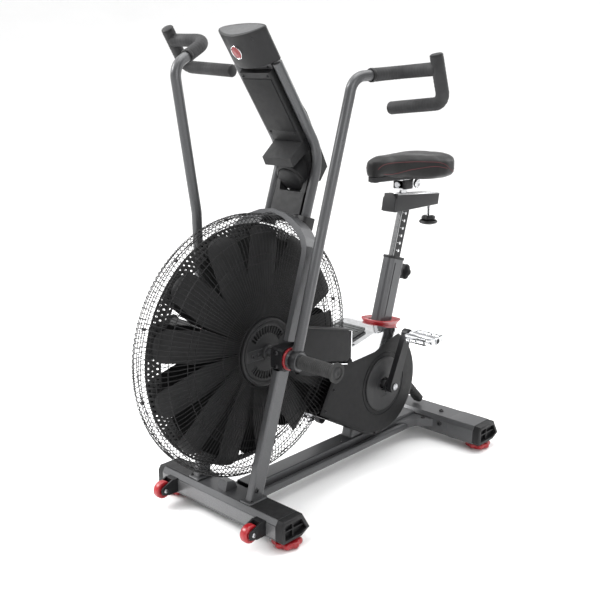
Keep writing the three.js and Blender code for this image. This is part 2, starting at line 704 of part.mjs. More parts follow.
function seatTube() {
  const length = 400;
  const tube = alongZ(roundedRect(TUBE_WIDTH, TUBE_DEPTH, 15, 3), -length, 0)
    .rotateX(-SEAT_LEAN).translate(0, SEAT_TUBE_TOP.y, SEAT_TUBE_TOP.z);
  const bore = alongZ(roundedRect(POST_WIDTH + 1, POST_DEPTH + 1, 4, 2), -350, 1)
    .rotateX(-SEAT_LEAN).translate(0, SEAT_TUBE_TOP.y, SEAT_TUBE_TOP.z);
  const bracket = rodX(27, -42, 42, 24).translate(0, CRANK_Y, CRANK_Z);
  const spindleBore = rodX(12 + 2 * GAP, -50, 50, 20).translate(0, CRANK_Y, CRANK_Z);
  const footHeight = CRANK_Z - BEAM_TOP - GAP;
  const foot = leaningPost(roundedRect(FOOT_POST.width, FOOT_POST.depth, 8, 2), footHeight, 0, 44)
    .translate(0, FOOT_POST.y, BEAM_TOP + GAP);
  return part('seat_tube', cut(join(tube, bracket, foot), bore, spindleBore), FRAME_PAINT);
}

function seatPost() {
  const post = alongZ(roundedRect(POST_WIDTH, POST_DEPTH, 4, 2), -200, POST_TOP)
    .rotateX(-SEAT_LEAN).translate(0, SEAT_TUBE_TOP.y, SEAT_TUBE_TOP.z);
  const trim = alongX([[SLIDER_FRONT, 800 - GAP], [SLIDER_REAR, 793 - GAP], [SLIDER_REAR, 870],
    [SLIDER_FRONT, 870]], -20, 20);
  return part('seat_post', cut(post, trim), CHROME);
}

function lobedKnob(radius, thickness, stemRadius, stemLength, lobes = 6) {
  const outline = [];
  for (let i = 0; i < lobes * 4; i += 1) {
    const angle = 2 * Math.PI * i / (lobes * 4);
    const reach = radius * (0.92 + 0.08 * Math.cos(lobes * angle));
    outline.push([reach * Math.cos(angle), reach * Math.sin(angle)]);
  }
  const head = alongZ(outline, stemLength, stemLength + thickness);
  const stem = alongZ(circle(stemRadius, 12), 0, stemLength + 1);
  return join(head, stem);
}

function postKnob() {
  const knob = lobedKnob(27, 22, 7, 24).rotateX(-Math.PI / 2);
  return part('post_knob', knob, BLACK_PLASTIC, [0, TUBE_DEPTH / 2 + GAP, -38]);
}

// A flat-topped channel that the seat carriage slides in, slotted along its top.
function seatSlider() {
  const side = [[SLIDER_FRONT, 800], [SLIDER_REAR, 793], [SLIDER_REAR + 7, 830], [SLIDER_FRONT + 7, 847]];
  const body = alongX(side, -26, 26);
  const channel = alongX([[SLIDER_FRONT + 12, 810], [SLIDER_REAR - 8, 803],
    [SLIDER_REAR - 3, 821], [SLIDER_FRONT + 14, 838]], -20, 20);
  const slot = alongZ([[-7, 408], [7, 408], [7, 560], [-7, 560]], 815, 860);
  return part('seat_slider', cut(body, channel, slot), BLACK_PAINT);
}

const CARRIAGE_Y = 434;

function seatCarriage() {
  const neck = alongZ(shifted(roundedRect(12, 30, 4, 2), 0, CARRIAGE_Y), 816, 862);
  const shoe = alongX([[CARRIAGE_Y - 28, 813], [CARRIAGE_Y + 28, 811], [CARRIAGE_Y + 28, 819],
    [CARRIAGE_Y - 28, 822]], -18, 18);
  const clampBlock = alongZ(shifted(roundedRect(46, 52, 8, 2), 0, CARRIAGE_Y + 4), 856,
    SEAT_BOTTOM - GAP);
  return part('seat_carriage', join(neck, shoe, clampBlock), STEEL);
}

// The top of the seat in plan: a rounded nose that spreads into two wide rear wings.
function seatPad() {
  const half = [[0, 262], [18, 264], [32, 276], [38, 300], [45, 345], [61, 398], [88, 442],
    [110, 480], [119, 517], [116, 552], [98, 582], [64, 597], [30, 600], [0, 598]];
  const mirrorHalf = half.slice(1, -1).map(([x, y]) => [-x, y]).reverse();
  const shape = shapeOf([...half, ...mirrorHalf]);
  const pad = new THREE.ExtrudeGeometry(shape, {
    depth: 26, bevelEnabled: true, bevelThickness: 24, bevelSize: 12, bevelOffset: -12,
    bevelSegments: 2,
  });
  const underNose = alongX([[250, 880], [420, 880], [250, SEAT_BOTTOM + 28]], -140, 140);
  pad.translate(0, 0, SEAT_BOTTOM + 24 + GAP);
  return part('seat_pad', cut(pad, underNose), LEATHER);
}

function sliderKnob() {
  const knob = lobedKnob(26, 20, 6, 46).rotateX(Math.PI);
  return part('slider_knob', knob, BLACK_PLASTIC, [0, 578, 792]);
}

function seat() {
  const along = group([postKnob()], [0, SEAT_TUBE_TOP.y, SEAT_TUBE_TOP.z],
    [-SEAT_LEAN, 0, 0]);
  return group([seatTube(), seatPost(), along, seatSlider(), seatCarriage(), seatPad(), sliderKnob()]);
}

// ---- arms ---------------------------------------------------------------------------------
const HUB_INNER = PIVOT_OUTER + 1;
const HUB_OUTER = 200;
const ARM_KNEE = [172, 111, 330];
const ARM_BEND = [187, 207, 705];
const GRIP_BEND = [214, 362, 716];
const CROSS_JOINT = [343, 348, 725];
const CROSS_TOP = [343, 343, 758];
const CROSS_CORNER = [353, 370, 640];
const CROSS_END = [176, 382, 623];

function between(from, to, share) {
  return from.map((value, i) => value + (to[i] - value) * share);
}

const SLEEVE_BORE = 15.1;

// Hub, bent tube and cross bar, welded together; built round the pivot axis.
function arm(name, sign, swing) {
  const hub = rodX(25, HUB_INNER, HUB_OUTER, 20);
  const tube = bentTube([[ARM_X, 3, 12], ARM_KNEE, ARM_BEND, GRIP_BEND, CROSS_JOINT], 48,
    circle(ARM_RADIUS, 10));
  const bar = bentTube([between(CROSS_TOP, CROSS_CORNER, 0.04), CROSS_CORNER,
    between(CROSS_END, CROSS_CORNER, 0.03)], 30, circle(ARM_RADIUS, 10));
  const bore = rodX(PIVOT_BORE, HUB_INNER - 1, HUB_OUTER + 1, 20);
  const body = onSide(cut(join(hub, tube, bar), bore), sign);
  return part(name, body, FRAME_PAINT, [0, 0, 0], [radians(swing), 0, 0]);
}

function handgrip(name, sign, swing) {
  const start = between(ARM_BEND, GRIP_BEND, 0.42);
  const before = between(ARM_BEND, GRIP_BEND, 0.38);
  const upper = bentTube([start, GRIP_BEND, CROSS_JOINT], 48, circle(GRIP_RADIUS, 10));
  const upperBore = bentTube([before, GRIP_BEND, CROSS_JOINT], 48, circle(SLEEVE_BORE, 10));
  const lower = bentTube([CROSS_TOP, CROSS_CORNER, CROSS_END], 30, circle(GRIP_RADIUS, 10));
  const lowerBore = bentTube([between(CROSS_TOP, CROSS_CORNER, 0.03), CROSS_CORNER,
    between(CROSS_END, CROSS_CORNER, 0.025)], 30, circle(SLEEVE_BORE, 10));
  const body = onSide(cut(join(upper, lower), upperBore, lowerBore), sign);
  return part(name, body, RUBBER, [0, 0, 0], [radians(swing), 0, 0]);
}

// The pin is fixed in the pivot block, carries the arm, and ends in the foot peg.
function footPeg(name, sign) {
  const pin = rodX(12, PIVOT_INNER - 2, HUB_OUTER + 5, 16);
  const sleeve = rodX(19, HUB_OUTER + 1, PEG_END - 6, 18);
  const flange = rodX(26, PEG_END - 9, PEG_END, 20);
  return part(name, onSide(join(pin, sleeve, flange), sign), BLACK_PLASTIC);
}

function arms() {
  const swings = { left: 0, right: ARM_SPREAD };
  const parts = SIDES.flatMap(([side, sign]) => [
    arm(`arm_${side}`, sign, swings[side]),
    handgrip(`handgrip_${side}`, sign, swings[side]),
    footPeg(`foot_peg_${side}`, sign),
  ]);
  return group(parts, [0, FAN_Y, FAN_Z]);
}

// ---- mast covers and console ----------------------------------------------------------------
const INSIDE_MAST = MAST_X - MAST_RADIUS - 1;

function mastPanel() {
  const from = 80;
  const to = 272;
  const shell = alongZ(shifted(roundedRect(2 * INSIDE_MAST, 36, 5, 2), 0, -8), from, to);
  const pocket = alongZ(shifted(roundedRect(2 * INSIDE_MAST - 8, 30, 2, 1), 0, -1), from + 4, to - 4);
  return part('mast_panel', cut(shell, pocket), BLACK_PLASTIC,
    [0, MAST_BEND.y, MAST_BEND.z], [MAST_LEAN, 0, 0]);
}

const BOTTLE = { y: -77, z: 925, radius: 42, length: 82, tilt: 54 };

function bottleHolder() {
  const { radius, length, y, z, tilt } = BOTTLE;
  const profile = [[0, 0], [radius - 6, 0], [radius, 6], [radius, length], [radius - 3, length],
    [radius - 3, 9], [radius - 9, 4], [0, 4]].map(([r, h]) => new THREE.Vector2(r, h));
  const cup = new THREE.LatheGeometry([...profile], 28).rotateX(Math.PI / 2);
  return part('bottle_holder', cup, BLACK_PLASTIC, [0, y, z], [-radians(tilt), 0, 0]);
}

// The lower cover fills the mast between its tubes, with a tray that juts forward.
function mastCover() {
  const corners = [MAST_FOOT, MAST_BEND, MAST_HEAD].map(({ y, z }) => [0, y, z]);
  const line = bentStations(corners, MAST_BEND_RADIUS, 6).slice(1, -1);
  const first = between([0, MAST_FOOT.y, MAST_FOOT.z], [0, MAST_BEND.y, MAST_BEND.z], 0.2);
  const centre = [new THREE.Vector3(...first), ...line];
  const front = centre.map(({ y, z }) => [y - 10, z]);
  const rear = centre.map(({ y, z }) => [y + 12, z]);
  const web = alongX([...rear, ...front.reverse()], -INSIDE_MAST, INSIDE_MAST);
  const tray = alongX([[-58, 1044], [-76, 1041], [-131, 992], [-119, 970], [-58, 1013]], -52, 52);
  const rearShell = alongX([[-58, 922], [-16, 926], [12, 963], [-12, 1008], [-71, 1111], [-119, 1167],
    [-130, 1159], [-73, 1075], [-30, 1000]], -INSIDE_MAST, INSIDE_MAST);
  const { radius, length, y, z, tilt } = BOTTLE;
  const bottleHole = alongZ(circle(radius + 1, 28), -20, length + 160)
    .rotateX(-radians(tilt)).translate(0, y, z);
  return part('mast_cover', cut(join(web, tray, rearShell), bottleHole), BLACK_PLASTIC);
}

const CONSOLE = { foot: 5, length: 99, halfWidth: 84, back: 13, button: 7, buttonLine: 17 };

function consoleHousing() {
  const { foot, length, halfWidth, back, button, buttonLine } = CONSOLE;
  const bulge = [];
  for (let i = 0; i <= 12; i += 1) {
    const share = i / 12;
    const x = -halfWidth + 2 * halfWidth * share;
    bulge.push([x, -8 - 30 * Math.sin(Math.PI * share)]);
  }
  const outline = [...bulge, [halfWidth, back], [-halfWidth, back]];
  const body = alongZ(outline, foot, length);
  const screenSeat = alongZ([[-63, back - 5], [63, back - 5], [63, back + 1], [-63, back + 1]],
    28, length - 8);
  const buttonHoles = BUTTONS.map(({ x }) => (
    alongY(circle(button + 0.5, 14), back - 6, back + 1).translate(x, 0, buttonLine)));
  return part('console_housing', cut(body, screenSeat, ...buttonHoles), BLACK_PLASTIC);
}

const BUTTONS = [{ name: 'down', x: -34 }, { name: 'start', x: 0 }, { name: 'up', x: 34 }];

function consoleScreen() {
  const { length, back } = CONSOLE;
  const plate = alongZ([[-62.5, back - 5 + GAP], [62.5, back - 5 + GAP], [62.5, back - 1],
    [-62.5, back - 1]], 28.5, length - 8.5);
  return part('console_screen', plate, GLASS);
}

function consoleButton({ name, x }) {
  const { back, button, buttonLine } = CONSOLE;
  const cap = alongY(circle(button, 14), back - 4, back + 3).translate(x, 0, buttonLine);
  return part(`button_${name}`, cap, DARK_PLASTIC);
}

function consoleUnit() {
  const parts = [consoleHousing(), consoleScreen(), ...BUTTONS.map(consoleButton)];
  return group(parts, [0, MAST_HEAD.y, MAST_HEAD.z], [MAST_LEAN, 0, 0]);
}

const airBike = group([
  base(), uprights(), fanUnit(), drive(), shroud(), seat(), arms(),
  mastPanel(), mastCover(), bottleHolder(), consoleUnit(),
]);
airBike.name = 'air_bike';
airBike.position.z = -FLOOR_Z;
export default airBike;
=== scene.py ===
import json
import math
import bpy
import bmesh
from mathutils import Matrix, Vector


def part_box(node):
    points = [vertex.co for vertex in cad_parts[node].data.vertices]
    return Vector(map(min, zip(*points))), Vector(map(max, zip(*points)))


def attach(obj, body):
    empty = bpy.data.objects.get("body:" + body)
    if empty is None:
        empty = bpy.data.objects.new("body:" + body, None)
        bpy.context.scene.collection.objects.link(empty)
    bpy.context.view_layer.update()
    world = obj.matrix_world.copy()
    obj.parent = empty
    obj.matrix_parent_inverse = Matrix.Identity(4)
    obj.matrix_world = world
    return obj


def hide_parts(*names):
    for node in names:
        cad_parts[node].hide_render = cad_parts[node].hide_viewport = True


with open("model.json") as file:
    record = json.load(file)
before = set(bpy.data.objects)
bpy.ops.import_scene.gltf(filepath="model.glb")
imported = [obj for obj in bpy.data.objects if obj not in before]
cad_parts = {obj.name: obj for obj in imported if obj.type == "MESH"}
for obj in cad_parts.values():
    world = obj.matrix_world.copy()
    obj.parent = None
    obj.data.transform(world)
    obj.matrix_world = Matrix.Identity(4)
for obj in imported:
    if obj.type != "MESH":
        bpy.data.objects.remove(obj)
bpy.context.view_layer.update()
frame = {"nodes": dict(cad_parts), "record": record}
record = frame["record"]
nodes = frame["nodes"]

MM = 0.001
PI = math.pi
LEFT, RIGHT = ("left", 1), ("right", -1)
SIDES = (LEFT, RIGHT)
ARM_BODY = {"left": "arm_l", "right": "arm_r"}
PEDAL_BODY = {"left": "pedal_l", "right": "pedal_r"}


# ---- places taken from the frame ---------------------------------------------------------
def middle(node):
    low, high = (Vector(corner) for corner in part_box(node))
    return (low + high) / 2


joint_at = {j["name"]: Vector(j["pos_m"]) for j in record["behaviour"]["joints"] if "pos_m" in j}
FAN = joint_at["fan_spin"]
CRANK = joint_at["crank_spin"]


# ---- materials ---------------------------------------------------------------------------
def shader(name, color, roughness, metallic=0.0, **inputs):
    material = bpy.data.materials.new(name)
    material.use_nodes = True
    tree = material.node_tree
    bsdf = tree.nodes["Principled BSDF"]
    bsdf.inputs["Base Color"].default_value = (*color, 1)
    bsdf.inputs["Roughness"].default_value = roughness
    bsdf.inputs["Metallic"].default_value = metallic
    for socket, value in inputs.items():
        bsdf.inputs[socket.replace("_", " ")].default_value = value
    coords = tree.nodes.new("ShaderNodeTexCoord")
    mapping = tree.nodes.new("ShaderNodeMapping")
    tree.links.new(coords.outputs["Object"], mapping.inputs["Vector"])
    return material, tree, bsdf, mapping


def noise(tree, mapping, scale, detail=4.0, roughness=0.55):
    node = tree.nodes.new("ShaderNodeTexNoise")
    node.inputs["Scale"].default_value = scale
    node.inputs["Detail"].default_value = detail
    node.inputs["Roughness"].default_value = roughness
    tree.links.new(mapping.outputs["Vector"], node.inputs["Vector"])
    return node.outputs["Fac"]


def ramp(tree, value, stops):
    node = tree.nodes.new("ShaderNodeValToRGB")
    while len(node.color_ramp.elements) < len(stops):
        node.color_ramp.elements.new(0.5)
    for element, (place, color) in zip(node.color_ramp.elements, stops):
        element.position = place
        element.color = (*color, 1)
    tree.links.new(value, node.inputs["Fac"])
    return node.outputs["Color"]


def grey(level):
    return (level, level, level)


def shade(color, factor):
    return tuple(min(1.0, channel * factor) for channel in color)


def bump(tree, bsdf, height, strength, distance):
    node = tree.nodes.new("ShaderNodeBump")
    node.inputs["Strength"].default_value = strength
    node.inputs["Distance"].default_value = distance
    tree.links.new(height, node.inputs["Height"])
    tree.links.new(node.outputs["Normal"], bsdf.inputs["Normal"])
    return node


def painted(name, color, roughness, metallic=0.0, flake=900, patch=7, depth=0.00006, **inputs):
    """Paint: fine flake in the colour, slow patches in the gloss, and slight orange peel."""
    material, tree, bsdf, mapping = shader(name, color, roughness, metallic, **inputs)
    flakes = noise(tree, mapping, flake, 2)
    tint = ramp(tree, flakes, [(0.35, shade(color, 0.82)), (0.68, shade(color, 1.22))])
    tree.links.new(tint, bsdf.inputs["Base Color"])
    patches = noise(tree, mapping, patch, 5)
    gloss = ramp(tree, patches, [(0.3, grey(roughness * 0.82)), (0.7, grey(min(1, roughness * 1.2)))])
    tree.links.new(gloss, bsdf.inputs["Roughness"])
    bump(tree, bsdf, noise(tree, mapping, flake * 0.35, 2), 0.25, depth)
    return material


def moulded(name, color, roughness, grain=1500, depth=0.00012, **inputs):
    """Moulded plastic: a spark-eroded grain and faint flow patches."""
    material, tree, bsdf, mapping = shader(name, color, roughness, 0.0, **inputs)
    patches = noise(tree, mapping, 14, 6)
    tint = ramp(tree, patches, [(0.3, shade(color, 0.85)), (0.7, shade(color, 1.18))])
    tree.links.new(tint, bsdf.inputs["Base Color"])
    gloss = ramp(tree, noise(tree, mapping, 60, 4), [(0.3, grey(roughness * 0.85)),
                                                    (0.7, grey(min(1, roughness * 1.15)))])
    tree.links.new(gloss, bsdf.inputs["Roughness"])
    cells = tree.nodes.new("ShaderNodeTexVoronoi")
    cells.inputs["Scale"].default_value = grain
    tree.links.new(mapping.outputs["Vector"], cells.inputs["Vector"])
    bump(tree, bsdf, cells.outputs["Distance"], 0.35, depth)
    return material


def brushed(name, color, roughness, stretch):
    """Metal with fine parallel brush lines; stretch is the mapping scale along X, Y and Z."""
    material, tree, bsdf, mapping = shader(name, color, roughness, 1.0)
    mapping.inputs["Scale"].default_value = stretch
    lines = noise(tree, mapping, 60, 6, 0.7)
    tint = ramp(tree, lines, [(0.3, shade(color, 0.8)), (0.7, shade(color, 1.1))])
    tree.links.new(tint, bsdf.inputs["Base Color"])
    gloss = ramp(tree, lines, [(0.25, grey(roughness * 0.7)), (0.75, grey(roughness * 1.4))])
    tree.links.new(gloss, bsdf.inputs["Roughness"])
    bump(tree, bsdf, lines, 0.12, 0.00005)
    return material


def leather(name, color):
    """Grained seat cover: creased cells over a soft, slightly worn sheen."""
    material, tree, bsdf, mapping = shader(name, color, 0.5)
    bsdf.inputs["Specular IOR Level"].default_value = 0.24
    bsdf.inputs["Sheen Weight"].default_value = 0.02
    cells = tree.nodes.new("ShaderNodeTexVoronoi")
    cells.feature = "DISTANCE_TO_EDGE"
    cells.inputs["Scale"].default_value = 420
    cells.inputs["Randomness"].default_value = 0.9
    tree.links.new(mapping.outputs["Vector"], cells.inputs["Vector"])
    creases = ramp(tree, cells.outputs["Distance"], [(0.0, grey(0.0)), (0.22, grey(1.0))])
    bump(tree, bsdf, creases, 0.3, 0.0004)
    wear = noise(tree, mapping, 9, 6)
    tint = ramp(tree, wear, [(0.3, shade(color, 0.75)), (0.72, shade(color, 1.4))])
    tree.links.new(tint, bsdf.inputs["Base Color"])
    gloss = ramp(tree, noise(tree, mapping, 22, 5), [(0.3, grey(0.36)), (0.7, grey(0.56))])
    tree.links.new(gloss, bsdf.inputs["Roughness"])
    return material


def foam(name, color):
    """Closed-cell foam or rubber: fine pits and a dusty, uneven roughness."""
    material, tree, bsdf, mapping = shader(name, color, 0.78)
    pits = noise(tree, mapping, 1100, 5, 0.7)
    bump(tree, bsdf, pits, 0.5, 0.0003)
    tint = ramp(tree, noise(tree, mapping, 40, 6), [(0.3, shade(color, 0.75)), (0.7, shade(color, 1.3))])
    tree.links.new(tint, bsdf.inputs["Base Color"])
    gloss = ramp(tree, noise(tree, mapping, 25, 4), [(0.3, grey(0.62)), (0.7, grey(0.85))])
    tree.links.new(gloss, bsdf.inputs["Roughness"])
    return material


def woven(name, color):
    """Tight cord for the saddle's piping."""
    material, tree, bsdf, mapping = shader(name, color, 0.7)
    wave = tree.nodes.new("ShaderNodeTexWave")
    wave.inputs["Scale"].default_value = 300
    wave.inputs["Distortion"].default_value = 0.4
    tree.links.new(mapping.outputs["Vector"], wave.inputs["Vector"])
    tint = ramp(tree, wave.outputs["Fac"], [(0.2, shade(color, 0.6)), (0.8, shade(color, 1.2))])
    tree.links.new(tint, bsdf.inputs["Base Color"])
    bump(tree, bsdf, wave.outputs["Fac"], 0.4, 0.0003)
    return material


def display(name):
    """Dark display lens: faint blocks of an unlit segment display, with no figures in it."""
    base = (0.035, 0.045, 0.045)
    material, tree, bsdf, mapping = shader(name, base, 0.08, 0.0, Coat_Weight=0.6)
    bricks = tree.nodes.new("ShaderNodeTexBrick")
    bricks.inputs["Scale"].default_value = 28
    bricks.inputs["Color1"].default_value = (*shade(base, 1.5), 1)
    bricks.inputs["Color2"].default_value = (*shade(base, 1.15), 1)
    bricks.inputs["Mortar"].default_value = (*shade(base, 0.6), 1)
    bricks.inputs["Mortar Size"].default_value = 0.03
    tree.links.new(mapping.outputs["Vector"], bricks.inputs["Vector"])
    tree.links.new(bricks.outputs["Color"], bsdf.inputs["Base Color"])
    smears = ramp(tree, noise(tree, mapping, 35, 4), [(0.3, grey(0.06)), (0.75, grey(0.16))])
    tree.links.new(smears, bsdf.inputs["Roughness"])
    return material


PAINT = painted("frame_paint_look", (0.07, 0.071, 0.074), 0.33, 0.35)
# Lighter copy of the frame paint: painted light for the stabilizer's lit front face.
LIT_FACE_PAINT = painted("lit_face_paint_look", (0.15, 0.151, 0.154), 0.32, 0.4)
BLACK_PAINT = painted("black_paint_look", (0.01, 0.01, 0.011), 0.4, 0.1, Specular_IOR_Level=0.3)
WIRE = painted("cage_wire_look", (0.008, 0.008, 0.0085), 0.5, 0.0, flake=400, Specular_IOR_Level=0.2)
BLADE = moulded("fan_blade_look", (0.0085, 0.0085, 0.009), 0.55, grain=700, Specular_IOR_Level=0.22)
PLASTIC = moulded("black_plastic_look", (0.0105, 0.0105, 0.0112), 0.5, Specular_IOR_Level=0.28)
SHELL = moulded("shroud_look", (0.0065, 0.0065, 0.007), 0.45, grain=1100, Specular_IOR_Level=0.16)
SLIDER_LOOK = painted("slider_look", (0.012, 0.012, 0.013), 0.42, 0.0, Specular_IOR_Level=0.3)
SOFT_PLASTIC = moulded("dark_plastic_look", (0.016, 0.016, 0.017), 0.45, grain=900, Specular_IOR_Level=0.3)
LENS_TOP = moulded("console_top_look", (0.04, 0.041, 0.043), 0.42, grain=700)
RED = moulded("red_plastic_look", (0.3, 0.005, 0.01), 0.34, grain=600, depth=0.00006, Coat_Weight=0.15)
ACCENT = painted("accent_red_look", (0.19, 0.004, 0.007), 0.32, 0.1, Coat_Weight=0.15)
CHROME = brushed("chrome_look", (0.66, 0.665, 0.675), 0.1, (1, 1, 6))
STEEL = brushed("steel_look", (0.45, 0.455, 0.47), 0.3, (18, 1, 1))
GREY_PAD = foam("step_pad_look", (0.07, 0.072, 0.072))
RUBBER = foam("rubber_look", (0.012, 0.012, 0.012))
GRIP = foam("grip_look", (0.013, 0.013, 0.014))
LEATHER = leather("saddle_look", (0.0065, 0.0062, 0.0064))
PIPING = woven("piping_look", (0.09, 0.008, 0.012))
LENS = display("display_look")


# ---- mesh tools --------------------------------------------------------------------------
def mesh_piece(name, verts, faces, look, matrix=None):
    mesh = bpy.data.meshes.new(name)
    mesh.from_pydata([tuple(v) for v in verts], [], faces)
    mesh.validate()
    if matrix is not None:
        mesh.transform(matrix)
    shaped = bmesh.new()
    shaped.from_mesh(mesh)
    bmesh.ops.remove_doubles(shaped, verts=shaped.verts, dist=1e-6)
    bmesh.ops.recalc_face_normals(shaped, faces=shaped.faces)
    shaped.to_mesh(mesh)
    shaped.free()
    mesh.shade_smooth()
    mesh.set_sharp_from_angle(angle=math.radians(38))
    mesh.materials.append(look)
    piece = bpy.data.objects.new(name, mesh)
    bpy.context.scene.collection.objects.link(piece)
    return piece


def bevel(piece, width, segments=3, angle=40):
    modifier = piece.modifiers.new("soft_edges", "BEVEL")
    modifier.width = width
    modifier.segments = segments
    modifier.limit_method = "ANGLE"
    modifier.angle_limit = math.radians(angle)
    modifier.harden_normals = True
    return piece


def fit(piece, body, slot, *replaced):
    """The piece rides on a body and may stand for CAD nodes; the slot argument is not used."""
    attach(piece, body)
    if replaced:
        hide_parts(*replaced)
    return piece


def polish(node, look, width=2 * MM, segments=2, angle=40):
    """A CAD node that stays: flat faces merged, edges softened, and a real material."""
    piece = nodes[node]
    piece.data.materials.clear()
    piece.data.materials.append(look)
    piece.data.shade_smooth()
    merge = piece.modifiers.new("merge_flats", "DECIMATE")
    merge.decimate_type = "DISSOLVE"
    merge.angle_limit = math.radians(0.5)
    bevel(piece, width, segments, angle)


def sheet_grid(rows, columns, closed_rows=False, closed_columns=False):
    faces = []
    for i in range(rows if closed_rows else rows - 1):
        for j in range(columns if closed_columns else columns - 1):
            a, b = i * columns, ((i + 1) % rows) * columns
            k = (j + 1) % columns
            faces.append((a + j, a + k, b + k, b + j))
    return faces


def rounded_path(corners, radius, steps=10):
    corners = [Vector(c) for c in corners]
    path = [corners[0]]
    for before, corner, after in zip(corners, corners[1:], corners[2:]):
        into, out = (corner - before).normalized(), (after - corner).normalized()
        turn = into.angle(out)
        trim = min(radius * math.tan(turn / 2), (corner - before).length * 0.48,
                   (after - corner).length * 0.48)
        bend = trim / math.tan(turn / 2)
        centre = corner + (out - into).normalized() * bend / math.cos(turn / 2)
        start = corner - into * trim - centre
        axis = into.cross(out).normalized()
        for k in range(steps + 1):
            path.append(centre + Matrix.Rotation(turn * k / steps, 3, axis) @ start)
    path.append(corners[-1])
    return path


def stations(path):
    """Path points with a steady sideways direction at each."""
    count = len(path)
    result = []
    normal = None
    for i, point in enumerate(path):
        ahead = (path[min(i + 1, count - 1)] - path[max(i - 1, 0)]).normalized()
        if normal is None:
            normal = ahead.orthogonal().normalized()
        normal = (normal - ahead * normal.dot(ahead)).normalized()
        result.append((point, normal, ahead.cross(normal)))
    return result


def tube_mesh(path, radius, sides=20, lip=0.0):
    """Vertices and faces of a round bar; lip rounds its two ends."""
    path = [Vector(p) for p in path]
    scales = [1.0] * len(path)
    if lip:
        head = (path[1] - path[0]).normalized() * lip
        tail = (path[-1] - path[-2]).normalized() * lip
        path = [path[0], path[0] + head * 0.3, path[0] + head, *path[1:-1],
                path[-1] - tail, path[-1] - tail * 0.3, path[-1]]
        edge = [1 - lip / radius, 1 - 0.3 * lip / radius, 1.0]
        scales = edge + [1.0] * (len(path) - 6) + edge[::-1]
    verts = []
    for (point, side, up), scale in zip(stations(path), scales):
        for k in range(sides):
            angle = 2 * PI * k / sides
            verts.append(point + (side * math.cos(angle) + up * math.sin(angle)) * radius * scale)
    faces = sheet_grid(len(path), sides, closed_columns=True)
    faces.append(tuple(range(sides)))
    faces.append(tuple(range(len(verts) - 1, len(verts) - 1 - sides, -1)))
    return verts, faces


def lathe_mesh(profile, segments=48):
    """Turned about the X axis; the profile lists (x, radius)."""
    verts = []
    for x, r in profile:
        for k in range(segments):
            angle = 2 * PI * k / segments
            verts.append(Vector((x, r * math.cos(angle), r * math.sin(angle))))
    return verts, sheet_grid(len(profile), segments, closed_columns=True)


def lathe(name, profile, look, matrix=None, segments=48, closed=True):
    points = [*profile, profile[0]] if closed else profile
    return mesh_piece(name, *lathe_mesh(points, segments), look, matrix)


def merged(*shapes):
    verts, faces = [], []
    for more_verts, more_faces in shapes:
        base = len(verts)
        verts.extend(more_verts)
        faces.extend(tuple(base + i for i in face) for face in more_faces)
    return verts, faces


def prism_mesh(outline, low, high, axis="x"):
    place = {"x": lambda a, b, c: (c, a, b), "y": lambda a, b, c: (a, c, b),
             "z": lambda a, b, c: (a, b, c)}[axis]
    count = len(outline)
    verts = [Vector(place(a, b, low)) for a, b in outline]
    verts += [Vector(place(a, b, high)) for a, b in outline]
    faces = [tuple(range(count)), tuple(range(2 * count - 1, count - 1, -1))]
    faces += [(i, (i + 1) % count, count + (i + 1) % count, count + i) for i in range(count)]
    return verts, faces


def arc(a, b, radius, start, end, steps):
    return [(a + radius * math.cos(math.radians(start + (end - start) * i / steps)),
             b + radius * math.sin(math.radians(start + (end - start) * i / steps)))
            for i in range(steps + 1)]


def rounded_box(width, height, radius, steps=5):
    a, b = width / 2 - radius, height / 2 - radius
    return [*arc(a, b, radius, 0, 90, steps), *arc(-a, b, radius, 90, 180, steps),
            *arc(-a, -b, radius, 180, 270, steps), *arc(a, -b, radius, 270, 360, steps)]


def along(direction, at):
    """Places something turned about X so that it points along a direction."""
    turn = Vector((1, 0, 0)).rotation_difference(Vector(direction)).to_matrix().to_4x4()
    return Matrix.Translation(at) @ turn


def hex_bolt(name, at, direction, radius, body, slot="steel", look=STEEL):
    """Button-head bolt with a hexagon socket."""
    head = [(0, radius), (radius * 0.35, radius * 0.96), (radius * 0.6, radius * 0.72),
            (radius * 0.68, radius * 0.5)]
    dome = lathe_mesh([(-radius * 0.1, radius * 0.9), *head], 24)
    socket = []
    for depth, reach in ((0.68, 0.5), (0.2, 0.44)):
        for k in range(24):
            angle = 2 * PI * k / 24
            flat = math.cos(PI / 6) / math.cos((angle + PI / 6) % (PI / 3) - PI / 6)
            size = radius * reach * (flat if depth < 0.5 else 1)
            socket.append(Vector((radius * depth, size * math.cos(angle), size * math.sin(angle))))
    well = (socket, [*sheet_grid(2, 24, closed_columns=True), tuple(range(24, 48))])
    base = [Vector((-radius * 0.1, v.y, v.z)) for v in dome[0][:24]]
    back = (base, [tuple(range(24))])
    piece = mesh_piece(name, *merged(dome, well, back), look, along(direction, at))
    return fit(piece, body, slot)


# ---- layout, in millimetres, as the CAD was laid out --------------------------------------
FLOOR_Z = 18                           # height of the floor in the CAD layout
FRONT_FACE_Y, FRONT_DEPTH = -373, 106
REAR_FACE_Y, REAR_DEPTH = 497, 119
STABILIZER_TOP, STABILIZER_BOTTOM = 107, 44
SHROUD_HALF_WIDTH = 83
SEAT_LEAN = math.radians(16.5)
SEAT_TUBE_TOP = (397, 643)             # y and z in the layout
MAST_FOOT, MAST_BEND, MAST_HEAD = (-96, 818), (-35, 1000), (-195, 1237)
MAST_LEAN = math.atan2(MAST_BEND[0] - MAST_HEAD[0], MAST_HEAD[1] - MAST_BEND[1])
MAST_X = 70
INSIDE_MAST = 56


def place(x, y, z):
    return Vector((x, y, z - FLOOR_Z)) * MM


def shifted(outline, da, db):
    return [(a + da, b + db) for a, b in outline]


